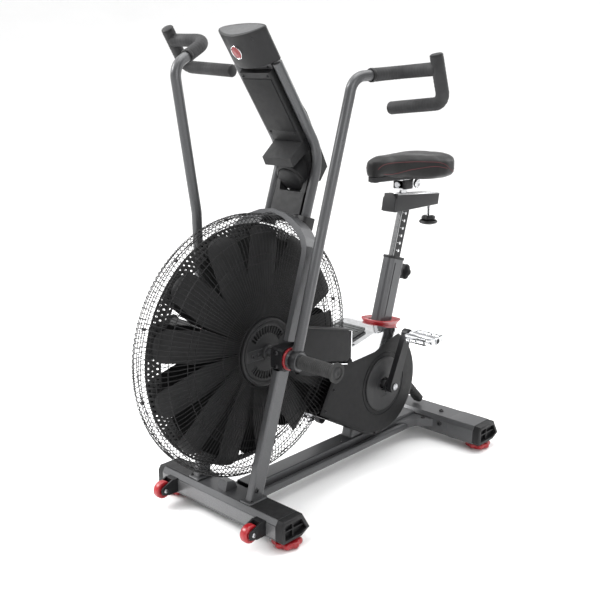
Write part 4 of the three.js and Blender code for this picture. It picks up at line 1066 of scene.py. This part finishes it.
def step_and_collar():
    polish("top_shroud", CHROME, 1.6 * MM, 3, 30)
    polish("step_pad", GREY_PAD, 1.5 * MM, 2)
    polish("seat_collar", RED, 1.2 * MM, 2)
    ribs = []
    lean = Matrix.Translation((0, 122, 448)) @ Matrix.Rotation(math.atan2(15, 72), 4, "X")
    for k in range(6):
        rib = block_mesh(rounded_box(98, 8.4, 3.6, 5), -0.5, 3.2, 0, 2.2, 4, "z")
        ribs.append(([lean @ (v + Vector((0, 7.5 + k * 11.6, 0))) for v in rib[0]], rib[1]))
    fit(mesh_piece("step_ribs", *merged(*ribs), GREY_PAD, LAYOUT), "frame", "rubber")
    flare = []
    steps = 64
    rows = [(-24, -7), (-12, -4.6), (-1, -1), (3, 0.4), (9, 4), (14, 8), (17, 9.6), (18.6, 8.8), (18, 6.8),
            (14, 3), (9, -1), (-1, -4), (-24, -10)]
    for z, grow in rows:
        for k in range(steps):
            angle = 2 * PI * k / steps
            a, b = math.cos(angle), math.sin(angle)
            reach_x = (39 + grow) * math.copysign(abs(a) ** 0.62, a)
            reach_y = (56 + grow) * math.copysign(abs(b) ** 0.62, b)
            flare.append(Vector((reach_x, reach_y, z)))
    faces = sheet_grid(len(rows), steps, closed_rows=True, closed_columns=True)
    tube_y, tube_z = SEAT_TUBE_TOP
    centre_y = tube_y - (tube_z - 438) * math.tan(SEAT_LEAN)
    collar = mesh_piece("collar_flare", flare, faces, RED,
                        frame_at(place(0, centre_y, 436), math.radians(-8)))
    fit(collar, "frame", "red_plastic")
    oval = block_mesh([(13 * math.cos(PI * k / 16), 7 * math.sin(PI * k / 16)) for k in range(32)],
                      -1, 2.4, 0, 1.4, 4, "z")
    badge = ([lean @ (v + Vector((-8, -16, 0))) for v in oval[0]], oval[1])
    fit(mesh_piece("oval_badge", *badge, RED, LAYOUT), "frame", "red_plastic")


def side_cover():
    outline = [(-150, 450), (44, 404), (58, 414), (58, 492), (48, 502), (-150, 551), (-160, 540), (-160, 460)]
    body = block("side_box", outline, 85, 112, SHELL, LAYOUT, 0, 7)
    carve(body, cutter(inset(outline, 5), 80, 104))
    bevel(body, 2 * MM, 3)
    fit(body, "frame", "black_plastic", "side_cover")
    strips = {"low": ((-146, 443.5), (44, 398), 4.2), "rear": ((60.5, 408), (60.5, 494), 4.6)}
    for name, (start, end, wide) in strips.items():
        a, b = Vector(start), Vector(end)
        ahead = (b - a).normalized()
        across = Vector((-ahead.y, ahead.x)) * wide / 2
        trim = block(f"bright_strip_{name}", [tuple(a - across), tuple(b - across), tuple(b + across),
                                              tuple(a + across)], 86, 112.6, CHROME, LAYOUT, 0, 1.6)
        fit(bevel(trim, 1.2 * MM, 3), "frame", "chrome")
    rail = block("side_rail", [(-120, 400), (20, 366), (46, 372), (46, 388), (-140, 434), (-148, 412)],
                 83.4, 100, SHELL, LAYOUT, 0, 5)
    fit(bevel(rail, 2 * MM, 3), "frame", "black_plastic")


def rear_strut():
    head, foot = Vector((0, 426, 254)), Vector((0, 560, STABILIZER_TOP + 12))
    ahead = (foot - head).normalized()
    up = Vector((0, -ahead.z, ahead.y))
    length = (foot - head).length
    profile = rounded_box(34, 26, 9, 6)
    count = 52
    verts = []
    for i in range(count):
        along_strut = length * i / (count - 1)
        ribbed = 0.2 < i / count < 0.82 and i % 4 < 2
        size = 0.93 if ribbed else 1.0
        if i in (0, count - 1):
            size = 0.88
        for a, b in profile:
            verts.append(head + ahead * along_strut + Vector((a * size, 0, 0)) + up * b * size)
    faces = sheet_grid(count, len(profile), closed_columns=True)
    faces += [tuple(range(len(profile))),
              tuple(range(len(verts) - 1, len(verts) - 1 - len(profile), -1))]
    fit(mesh_piece("ribbed_strut", verts, faces, RUBBER, LAYOUT), "frame", "rubber", "rear_strut")


def shroud():
    for side, sign in SIDES:
        shroud_half(side, sign)
    shroud_seam()
    step_and_collar()
    side_cover()
    rear_strut()


# ---- seat post and slider ------------------------------------------------------------------
SLIDER_FRONT, SLIDER_REAR = 366, 594


def seat_tube():
    polish("seat_tube", PAINT, 3 * MM, 3, 30)
    sleeve = block("tube_sleeve", rounded_box(44.6, 74.6, 16, 8), -6, 3, PLASTIC, SEAT, 2, 2, axis="z")
    carve(sleeve, cutter(rounded_box(24, 40, 4), -30, 20, "z", SEAT))
    fit(sleeve, "frame", "black_plastic")
    lug = block("tube_lug", rounded_box(30, 34, 8), 33, 42, PLASTIC, SEAT @ Matrix.Translation((0, 0, -38)),
                0, 3, "y")
    fit(lug, "frame", "black_plastic")
    ends = [Vector((21.6, 14, -190)), Vector((21.6, 14, -18))]
    grooves = [tube_mesh([Vector((s * p.x, -p.y, p.z)) for p in ends], 0.9, 8, 0.5) for s in (-1, 1)]
    fit(mesh_piece("tube_grooves", *merged(*grooves), BLACK_PAINT, SEAT), "frame", "black_paint")


def knob_mesh(radius, thick, dome, lobes=6):
    """Lobed hand knob with softened lobes and a domed top, pointing along Z."""
    rings = []
    levels = [(0, 0.2), (0, 0.74), (thick * 0.12, 0.9), (thick * 0.3, 1.0), (thick * 0.62, 1.0),
              (thick * 0.82, 0.9), (thick, 0.66), (thick + dome * 0.6, 0.4), (thick + dome, 0.02)]
    for z, share in levels:
        for k in range(72):
            angle = 2 * PI * k / 72
            lobe = 0.86 + 0.14 * (0.5 + 0.5 * math.cos(lobes * angle)) ** 0.6
            depth = lobe if share > 0.5 else 1.0
            rings.append(Vector((radius * share * depth * math.cos(angle),
                                 radius * share * depth * math.sin(angle), z)))
    faces = sheet_grid(len(levels), 72, closed_columns=True)
    faces += [tuple(range(72)), tuple(range(len(rings) - 1, len(rings) - 73, -1))]
    return rings, faces


def knobs():
    outward = SEAT @ Matrix.Translation((0, 37, -38)) @ Matrix.Rotation(-PI / 2, 4, "X")
    head = knob_mesh(27, 18, 5)
    grip = ([v + Vector((0, 0, 23)) for v in head[0]], head[1])
    post = mesh_piece("post_knob_head", *grip, PLASTIC, outward)
    fit(post, "knob_post", "black_plastic", "post_knob")
    turned = Matrix.Rotation(-PI / 2, 4, "Y")
    stem = lathe_mesh([(0, 0.01), (0, 7), (8, 7), (8, 9), (12, 9), (12, 7), (24, 7), (24, 0.01)], 32)
    piece = mesh_piece("post_knob_stem", [turned @ v for v in stem[0]], stem[1], CHROME, outward)
    fit(piece, "knob_post", "chrome")
    downward = frame_at(place(0, 578, 792)) @ Matrix.Rotation(PI, 4, "X")
    head = knob_mesh(27, 9, 0, 6)
    skirt = lathe_mesh([(52, 27), (55, 30), (58, 30.6), (62, 27), (65, 18), (66.4, 0.01), (50, 0.01),
                        (50, 16)], 56)
    top = ([v + Vector((0, 0, 37)) for v in knob_mesh(24, 16, 3)[0]], head[1])
    dish = ([turned @ v for v in skirt[0]], skirt[1])
    piece = mesh_piece("slider_knob_head", *merged(top, dish), PLASTIC, downward)
    fit(piece, "knob_slider", "black_plastic", "slider_knob")
    threads = [(0, 0.01), (0, 5)]
    for k in range(17):
        threads += [(2 + k * 2.4, 6), (3.2 + k * 2.4, 5.2)]
    threads += [(46, 6), (46, 0.01)]
    rod = lathe_mesh(threads, 28)
    piece = mesh_piece("slider_knob_rod", [turned @ v for v in rod[0]], rod[1], CHROME, downward)
    fit(piece, "knob_slider", "chrome")


def seat_post():
    """Post with a black strip of locking holes and marks on each side, inside the tube's 23 mm bore."""
    polish("seat_post", CHROME, 2 * MM, 3, 30)
    outline = [(-16.5, -190), (16.5, -190), (16.5, 156), (-16.5, 147)]
    strip_back = 10.6
    strip_face = 11.2
    hole_floor = 10.9
    mark_back = 11.1
    mark_face = 11.25
    first_hole = 22
    hole_step = 24
    heights = [first_hole + k * hole_step for k in range(-6, 6)]
    for side, sign in SIDES:
        matrix = SEAT @ Matrix.Diagonal((sign, 1, 1, 1))
        strip = block(f"post_strip_{side}", outline, strip_back, strip_face, BLACK_PAINT, matrix, 0, 0.1)
        holes = [cutter(shifted(arc(0, 0, 4.6, 0, 345, 23), 2, z), hole_floor, 13, matrix=matrix)
                 for z in heights]
        carve(strip, *holes)
        fit(strip, "post", "black_paint")
        mark = [(-12, -0.7), (-6, -0.7), (-6, 0.7), (-12, 0.7)]
        ticks = [prism_mesh(shifted(mark, 0, z), mark_back, mark_face) for z in heights]
        fit(mesh_piece(f"post_ticks_{side}", *merged(*ticks), CHROME, matrix), "post", "chrome")


def seat_slider():
    """Channel beam with a domed front end and a slotted top that shows a ruler strip."""
    side = [(SLIDER_FRONT, 791), (SLIDER_REAR, 793), (SLIDER_REAR + 7, 830), (SLIDER_FRONT + 7, 847)]
    beam = block("slider_beam", side, -26, 26, SLIDER_LOOK, LAYOUT, 2.5, 2.5)
    channel = cutter([(378, 803), (586, 803), (591, 821), (380, 838)], -20, 20)
    slot = cutter(shifted(rounded_box(14, 152, 5), 0, 484), 812, 870, "z")
    carve(beam, channel, slot)
    fit(beam, "post", "black_paint", "seat_slider")
    top_slope = math.atan2(-17, 228)
    matrix = frame_at(place(0, 487, 838.6)) @ Matrix.Rotation(top_slope, 4, "X")
    face = block("slider_top_strip", rounded_box(40, 212, 6), -0.4, 0.9, CHROME, matrix, 0, 0.5, "z")
    carve(face, cutter(shifted(rounded_box(15, 153, 5), 0, -3), -5, 5, "z", matrix))
    fit(face, "post", "chrome")
    black = block("slider_top_edges", rounded_box(47, 222, 8), -0.5, 0.5, BLACK_PAINT, matrix, 0, 0.3, "z")
    carve(black, cutter(rounded_box(38, 208, 6), -5, 5, "z", matrix))
    fit(black, "post", "black_paint")
    ticks = [prism_mesh(shifted([(-19, -0.5), (-11, -0.5), (-11, 0.5), (-19, 0.5)], 0, k * 10 - 65),
                        0.7, 1.1, "z") for k in range(14)]
    fit(mesh_piece("slider_ticks", *merged(*ticks), BLACK_PAINT, matrix), "post", "black_paint")
    edges = [tube_mesh([Vector((x, SLIDER_FRONT + 9, 845.6)), Vector((x, SLIDER_REAR + 5, 829.4))], 1.3, 10,
                       0.6)
             for x in (-24.8, 24.8)]
    fit(mesh_piece("slider_edge_trim", *merged(*edges), CHROME, LAYOUT), "post", "chrome")
    dome = [(-25.4, -30), (25.4, -30), (25.4, 10), *arc(0, 2, 25.8, 22, 158, 18), (-25.4, 10)]
    end = block("slider_end", dome, -5, 4, SLIDER_LOOK,
                frame_at(place(0, SLIDER_FRONT + 2, 822.5), math.radians(-10.8)), 2.5, 0, "y")
    fit(end, "post", "black_plastic")


def seat_carriage():
    polish("seat_carriage", CHROME, 1.5 * MM, 3)
    matrix = frame_at(place(0, 434, 856))
    clamp = block("carriage_clamp", rounded_box(50, 44, 8), 1, 31, PLASTIC, matrix, 3, 3, "z")
    fit(clamp, "saddle", "black_plastic")
    turned = Matrix.Rotation(PI / 2, 4, "Z")
    drum = lathe_mesh([(25, 0.01), (25, 12.4), (26.4, 14), (33, 14), (35, 12.4), (35, 7), (33.6, 6),
                       (33.6, 0.01)], 40)
    lock = ([Vector((v.x, v.y + 33, v.z + 17)) for v in drum[0]], drum[1])
    other = ([Vector((-v.x, v.y, v.z)) for v in lock[0]], lock[1])
    fit(mesh_piece("carriage_nuts", *merged(lock, other), CHROME, matrix), "saddle", "chrome")
    bolt = lathe_mesh([(22, 0.01), (22, 9), (24, 10), (30, 10), (31.6, 8), (31.6, 0.01)], 32)
    nose = ([turned @ v for v in bolt[0]], bolt[1])
    fit(mesh_piece("carriage_bolt", [Vector((v.x, -v.y, v.z + 16)) for v in nose[0]], nose[1], STEEL, matrix),
        "saddle", "steel")


# ---- saddle ------------------------------------------------------------------------------
SADDLE_HALF = [(0, 262), (18, 264), (32, 276), (38, 300), (45, 345), (61, 398), (88, 442), (110, 480),
               (119, 517), (116, 552), (98, 582), (64, 597), (30, 600), (0, 598)]


def saddle_width(y):
    """Half-width of the saddle at a station along it, from the plan of its CAD solid."""
    for (x0, y0), (x1, y1) in zip(SADDLE_HALF, SADDLE_HALF[1:]):
        if y0 <= y <= y1:
            return x0 + (x1 - x0) * (y - y0) / (y1 - y0)
    return 0.0


def smooth_step(low, high, value):
    share = min(1.0, max(0.0, (value - low) / (high - low)))
    return share * share * (3 - 2 * share)


def saddle_mesh():
    """Closed loft in cross sections along Y: narrow nose, wide wings, slight dip between."""
    rows, around = 46, 40
    verts = []
    for i in range(rows):
        share = i / (rows - 1)
        y = 266 + 330 * (0.5 - 0.5 * math.cos(PI * share))
        ease = math.sin(PI * min(1, share * 6) / 2) * math.sin(PI * min(1, (1 - share) * 7) / 2)
        half = max(6, saddle_width(min(max(y, 263), 599)) - 5) * (0.6 + 0.4 * ease)
        top = 962 + 4 * smooth_step(480, 590, y) - 5 * smooth_step(330, 262, y)
        low = 894 + 9 * smooth_step(370, 300, y)
        mid = (top + low) / 2
        tall = (top - low) / 2 * (0.6 + 0.4 * ease)
        dip = 7 * smooth_step(400, 520, y) * (1 - smooth_step(575, 600, y))
        for k in range(around):
            angle = 2 * PI * k / around
            a, b = math.cos(angle), math.sin(angle)
            x = half * math.copysign(abs(a) ** 0.7, a)
            z = mid + tall * math.copysign(abs(b) ** 0.62, b)
            if b > 0:
                z -= dip * (1 - abs(x / half) ** 1.5) - 1
            else:
                z -= 12 * abs(x / half) ** 2 * smooth_step(380, 470, y)
            verts.append(Vector((x, y, z)))
    faces = sheet_grid(rows, around, closed_columns=True)
    faces += [tuple(range(around)), tuple(range(len(verts) - 1, len(verts) - 1 - around, -1))]
    return verts, faces


def inflate(piece, cap):
    """Remeshes the closed form, swells it as cloth under pressure, and keeps the result."""
    remesh = piece.modifiers.new("even_mesh", "REMESH")
    remesh.mode = "VOXEL"
    remesh.voxel_size = 5 * MM
    keep_shape(piece)
    start = [v.co.copy() for v in piece.data.vertices]
    cloth = piece.modifiers.new("cover", "CLOTH")
    cloth.settings.quality = 6
    cloth.settings.mass = 0.2
    cloth.settings.tension_stiffness = 30
    cloth.settings.compression_stiffness = 30
    cloth.settings.bending_stiffness = 4
    cloth.settings.use_pressure = True
    cloth.settings.uniform_pressure_force = 4
    cloth.settings.effector_weights.gravity = 0
    scene = bpy.context.scene
    for number in range(1, 21):
        scene.frame_set(number)
    keep_shape(piece)
    scene.frame_set(1)
    for vertex, home in zip(piece.data.vertices, start):
        move = vertex.co - home
        if move.length > cap:
            vertex.co = home + move.normalized() * cap
    smooth = piece.modifiers.new("settle", "SMOOTH")
    smooth.factor = 0.5
    smooth.iterations = 4
    finer = piece.modifiers.new("finer", "SUBSURF")
    finer.levels = 1
    finer.render_levels = 1
    keep_shape(piece)
    piece.data.shade_smooth()


def saddle():
    pad = mesh_piece("saddle_cover", *saddle_mesh(), LEATHER, LAYOUT)
    inflate(pad, 4 * MM)
    pad.data.materials.clear()
    pad.data.materials.append(LEATHER)
    fit(pad, "saddle", "leather", "seat_pad")
    surface = pad.data

    def onto_cover(points, lift=0.2 * MM):
        """Drops each point onto the nearest place on the cover."""
        found = []
        for point in points:
            hit, at, normal, _ = pad.closest_point_on_mesh(point)
            found.append(at + normal * lift if hit else point)
        return found

    surface.update()
    for side, sign in SIDES:
        guides = {
            "upper": [(26, 274, 930), (36, 296, 944), (40, 340, 948), (56, 398, 948), (84, 448, 946),
                      (106, 496, 938), (116, 530, 918), (108, 560, 904)],
            "lower": [(34, 300, 912), (40, 330, 908), (52, 380, 918), (74, 424, 926), (98, 470, 930),
                      (112, 512, 922)], }
        for name, guide in guides.items():
            path = curve_through([place(sign * x, y, z) for x, y, z in guide], 14)
            cord = tube_mesh(onto_cover(path), 0.8 * MM, 8)
            fit(mesh_piece(f"saddle_piping_{name}_{side}", *cord, PIPING), "saddle", "leather")
    seam = curve_through([place(x, y, 915) for x, y in
                          [(-112, 566), (-80, 596), (0, 604), (80, 596), (112, 566)]], 14)
    cord = tube_mesh(onto_cover(seam), 0.8 * MM, 8)
    fit(mesh_piece("saddle_rear_seam", *cord, PIPING), "saddle", "leather")
    base_outline = [(x * 0.6, 272 + (y - 262) * 0.94) for x, y in SADDLE_HALF]
    outline = [*base_outline, *[(-x, y) for x, y in base_outline[-2:0:-1]]]
    shell = block("saddle_base", outline, 890.6, 905, PLASTIC, LAYOUT, 3, 0, "z")
    fit(shell, "saddle", "black_plastic")
    nose = block("nose_bracket", rounded_box(24, 20, 5), 888, 902, PLASTIC, frame_at(place(0, 290, 0)), 3,
                 0, "z")
    fit(nose, "saddle", "black_plastic")


def curve_through(points, steps):
    """Smooth curve through every guide point."""
    path = []
    for i in range(len(points) - 1):
        before = points[max(i - 1, 0)]
        start, end = points[i], points[i + 1]
        after = points[min(i + 2, len(points) - 1)]
        for k in range(steps):
            t = k / steps
            path.append(0.5 * ((2 * start) + (end - before) * t
                               + (2 * before - 5 * start + 4 * end - after) * t * t
                               + (3 * start - before - 3 * end + after) * t ** 3))
    path.append(points[-1])
    return path


def seat():
    seat_tube()
    knobs()
    seat_post()
    seat_slider()
    seat_carriage()
    saddle()


# ---- mast covers and console ---------------------------------------------------------------
def mast_covers():
    polish("mast_panel", PLASTIC, 4 * MM, 4, 30)
    polish("mast_cover", PLASTIC, 5 * MM, 4, 35)
    inset_plate = block("mast_inset", [(-52, 92), (52, 92), (52, 254), (-52, 254)], -28, -25, SHELL, BEND,
                        1.2, 0, "y")
    fit(inset_plate, "frame", "black_plastic")
    skirt = block("mast_skirt", [(-106, 822), (-84, 814), (-58, 900), (-80, 900)], -INSIDE_MAST,
                  INSIDE_MAST, PLASTIC, LAYOUT, 2, 2)
    fit(skirt, "frame", "black_plastic")
    web = block("mast_web_cover", [(-106, 828), (-99, 826), (-77, 888), (-84, 890)], -INSIDE_MAST,
                INSIDE_MAST, PLASTIC, LAYOUT, 1.5, 1.5)
    fit(web, "frame", "black_plastic")
    foot = block("panel_foot", [(-52, 56), (52, 56), (52, 90), (-52, 90)], -22, 2, PLASTIC, BEND, 2, 2, "y")
    fit(foot, "frame", "black_plastic")
    header = block("mast_header", rounded_box(108, 22, 5), -9, 4, LENS_TOP,
                   HEAD @ Matrix.Translation((0, 0, -9)), 2, 0, "y")
    fit(header, "frame", "black_plastic")
    spots = {"left": (44, 262), "right": (-44, 262), "low_left": (44, 88), "low_right": (-44, 88)}
    for name, (x, z) in spots.items():
        hex_bolt(f"panel_screw_{name}", BEND @ Vector((x, -26, z)), BEND.to_3x3() @ Vector((0, -1, 0)),
                 3.6 * MM, "frame", "black_paint", BLACK_PAINT)
    hex_bolt("header_screw", HEAD @ Vector((40, -9, -8)), HEAD.to_3x3() @ Vector((0, -1, 0)), 3.8 * MM,
             "frame", "black_paint", BLACK_PAINT)
    knob_at = frame_at(place(50, -104, 832), math.radians(20))
    piece = mesh_piece("arch_knob", *knob_mesh(11, 10, 3), PLASTIC, knob_at)
    fit(piece, "frame", "black_plastic")


def bottle_holder():
    tilt = Matrix.Rotation(-math.radians(54), 4, "X")
    matrix = frame_at(place(0, -77, 925)) @ tilt @ Matrix.Rotation(-PI / 2, 4, "Y")
    profile = [(0, 0.01), (0, 34), (1.6, 38.4), (6, 41.4), (10, 42), (72, 42), (74, 43.4), (81, 43.4),
               (82, 42), (82, 40), (80, 39), (10, 39), (6, 36), (4, 30), (4, 0.01)]
    cup = lathe("bottle_cup", profile, PLASTIC, matrix, 72, closed=False)
    fit(cup, "frame", "black_plastic", "bottle_holder")
    sleeve = lathe("bottle_sleeve", [(5, 42.3), (5, 45), (8, 50), (58, 50), (60, 48), (60, 42.3)], PLASTIC,
                   matrix, 64)
    fit(sleeve, "frame", "black_plastic")


def console():
    """Lens-shaped housing: bulged front, brow over the screen, and a bezel round it."""
    half_width = 84

    def lens(front, back):
        bulge, brow = [], []
        for k in range(49):
            across = k / 24 - 1
            full = (1 - abs(across) ** 9) ** 0.5
            swell = math.cos(PI / 2 * across)
            bulge.append((half_width * across, 2 - (10 + front * swell) * full))
            brow.append((half_width * across, 2 + (11 + back * swell) * full))
        return [*bulge, *brow[-2:0:-1]]

    body = block("console_shell", lens(30, 0.5), 5, 93, PLASTIC, HEAD, 4, 0, "z")
    screen_seat = cutter([(-63, 28), (63, 28), (63, 91), (-63, 91)], 8, 20, "y", HEAD)
    holes = [cutter(shifted(arc(0, 0, 7.6, 0, 352.5, 47), x, 17), 7, 20, "y", HEAD) for x in (-34, 0, 34)]
    carve(body, screen_seat, *holes)
    bevel(body, 1.6 * MM, 3)
    fit(body, "frame", "black_plastic", "console_housing")
    top = block("console_top", lens(30, 9), 92.6, 99, PLASTIC, HEAD, 0, 3, "z")
    fit(top, "frame", "black_plastic")
    plate = block("console_top_plate", inset(lens(28, 7), 5), 98, 99.9, LENS_TOP, HEAD, 0, 1, "z")
    fit(plate, "frame", "black_plastic")
    polish("console_screen", LENS, 0.6 * MM, 2)
    bezel = block("screen_bezel", rounded_box(132, 69, 5), 12.6, 15, SOFT_PLASTIC,
                  HEAD @ Matrix.Translation((0, 0, 59.5)), 0, 1.2, "y")
    carve(bezel, cutter(rounded_box(118, 55, 4), 0, 30, "y", HEAD @ Matrix.Translation((0, 0, 59.5))))
    fit(bezel, "frame", "black_plastic")
    for name in ("down", "start", "up"):
        x = {"down": -34, "start": 0, "up": 34}[name]
        at = HEAD @ Matrix.Translation((x, 0, 17)) @ Matrix.Rotation(PI / 2, 4, "Z")
        cap = lathe(f"button_cap_{name}", [(9, 0.01), (9, 7), (15, 7), (16, 6), (16.2, 4), (15.7, 0.01)],
                    ACCENT if name == "start" else SOFT_PLASTIC, at, 40, closed=False)
        fit(cap, f"key_{name}", "button", f"button_{name}")
    badge_at = bulge_frame(-11, 53)
    ring = lathe("badge_ring", [(-2, 16.8), (1.2, 16.8), (1.9, 17.4), (1.9, 18.4), (1.2, 19), (-2, 19)],
                 CHROME, badge_at, 64)
    fit(ring, "frame", "chrome")
    disc = lathe("badge_disc", [(-2, 0.01), (-2, 16.8), (1, 16.8), (1.5, 14), (1.2, 8), (2.2, 5.6),
                                (2.4, 0.01)], ACCENT, badge_at, 64, closed=False)
    fit(disc, "frame", "red_plastic")
    hole_at = bulge_frame(50, 82)
    socket = lathe("console_screw", [(-1, 0.01), (0.4, 2.6), (0.5, 4.2), (-1, 4.6)], BLACK_PAINT, hole_at,
                   32, closed=False)
    fit(socket, "frame", "black_paint")


def bulge_frame(x, z):
    """Frame on the console's bulged front at a place across and up it, with X pointing out."""
    share = (x + 84) / 168
    y = -8 - 30 * math.sin(PI * share)
    slope = -30 * PI / 168 * math.cos(PI * share)
    out = HEAD.to_3x3() @ Vector((slope, -1, 0))
    return along(out.normalized(), HEAD @ Vector((x, y, z))) @ Matrix.Scale(MM, 4)


# ---- studio ------------------------------------------------------------------------------
def studio():
    floor_look, tree, bsdf, mapping = shader("floor_look", (0.9, 0.9, 0.905), 0.6)
    tint = ramp(tree, noise(tree, mapping, 0.8, 3), [(0.3, grey(0.89)), (0.7, grey(0.93))])
    tree.links.new(tint, bsdf.inputs["Base Color"])
    rows, columns = 24, 72
    verts = []
    for i in range(rows):
        reach = 0.02 + 14 * i / (rows - 1)
        rise = 0.03 * max(0.0, reach - 5) ** 2
        for k in range(columns):
            angle = 2 * PI * k / columns
            verts.append(Vector((reach * math.cos(angle), reach * math.sin(angle), rise)))
    faces = [tuple(range(columns)), *sheet_grid(rows, columns, closed_columns=True)]
    mesh_piece("floor", verts, faces, floor_look)
    world = bpy.data.worlds.new("studio")
    world.use_nodes = True
    tree = world.node_tree
    coords = tree.nodes.new("ShaderNodeTexCoord")
    toward = tree.nodes.new("ShaderNodeVectorMath")
    toward.operation = "DOT_PRODUCT"
    toward.inputs[1].default_value = (-0.66, 0.7, 0.25)
    tree.links.new(coords.outputs["Generated"], toward.inputs[0])
    sky = ramp(tree, toward.outputs["Value"], [(0.0, grey(0.32)), (0.62, grey(1.0))])
    tree.links.new(sky, tree.nodes["Background"].inputs["Color"])
    tree.nodes["Background"].inputs["Strength"].default_value = 1.0
    bpy.context.scene.world = world
    bpy.context.scene.view_settings.view_transform = "Standard"
    sun = bpy.data.lights.new("sky_light", "SUN")
    sun.energy = 2.4
    sun.angle = math.radians(80)
    sun_holder = bpy.data.objects.new("sky_light", sun)
    sun_holder.rotation_euler = Vector((0.45, 0.3, -0.85)).to_track_quat("-Z", "Y").to_euler()
    bpy.context.scene.collection.objects.link(sun_holder)
    lights = {
        "key": ((-2.6, -2.4, 3.2), (0, 0, 0.6), 150, 1.6),
        "fill": ((3.4, -1.2, 2.4), (0, 0, 0.6), 60, 2.4),
        "top": ((0.4, 0.6, 3.8), (0, 0, 0.4), 90, 2.8),
        "rim": ((1.2, 3.6, 2.6), (0, 0, 0.7), 60, 2.0),
    }
    for name, (at, toward, power, size) in lights.items():
        lamp = bpy.data.lights.new(name, "AREA")
        lamp.energy = power
        lamp.size = size
        holder = bpy.data.objects.new(name, lamp)
        holder.location = at
        holder.rotation_euler = (Vector(toward) - Vector(at)).to_track_quat("-Z", "Y").to_euler()
        bpy.context.scene.collection.objects.link(holder)


def camera():
    azimuth, elevation = math.radians(43.3), math.radians(14.7)
    view = bpy.data.cameras.new("camera")
    view.lens = 52.8
    view.sensor_width = 36
    view.clip_end = 60
    holder = bpy.data.objects.new("camera", view)
    holder.location = (1.662, -1.8015, 1.2021)
    holder.rotation_euler = (PI / 2 - elevation, 0, azimuth)
    bpy.context.scene.collection.objects.link(holder)
    bpy.context.scene.camera = holder


camera()
studio()
base()
uprights()
fan_unit()
arms()
drive()
shroud()
seat()
mast_covers()
bottle_holder()
console()
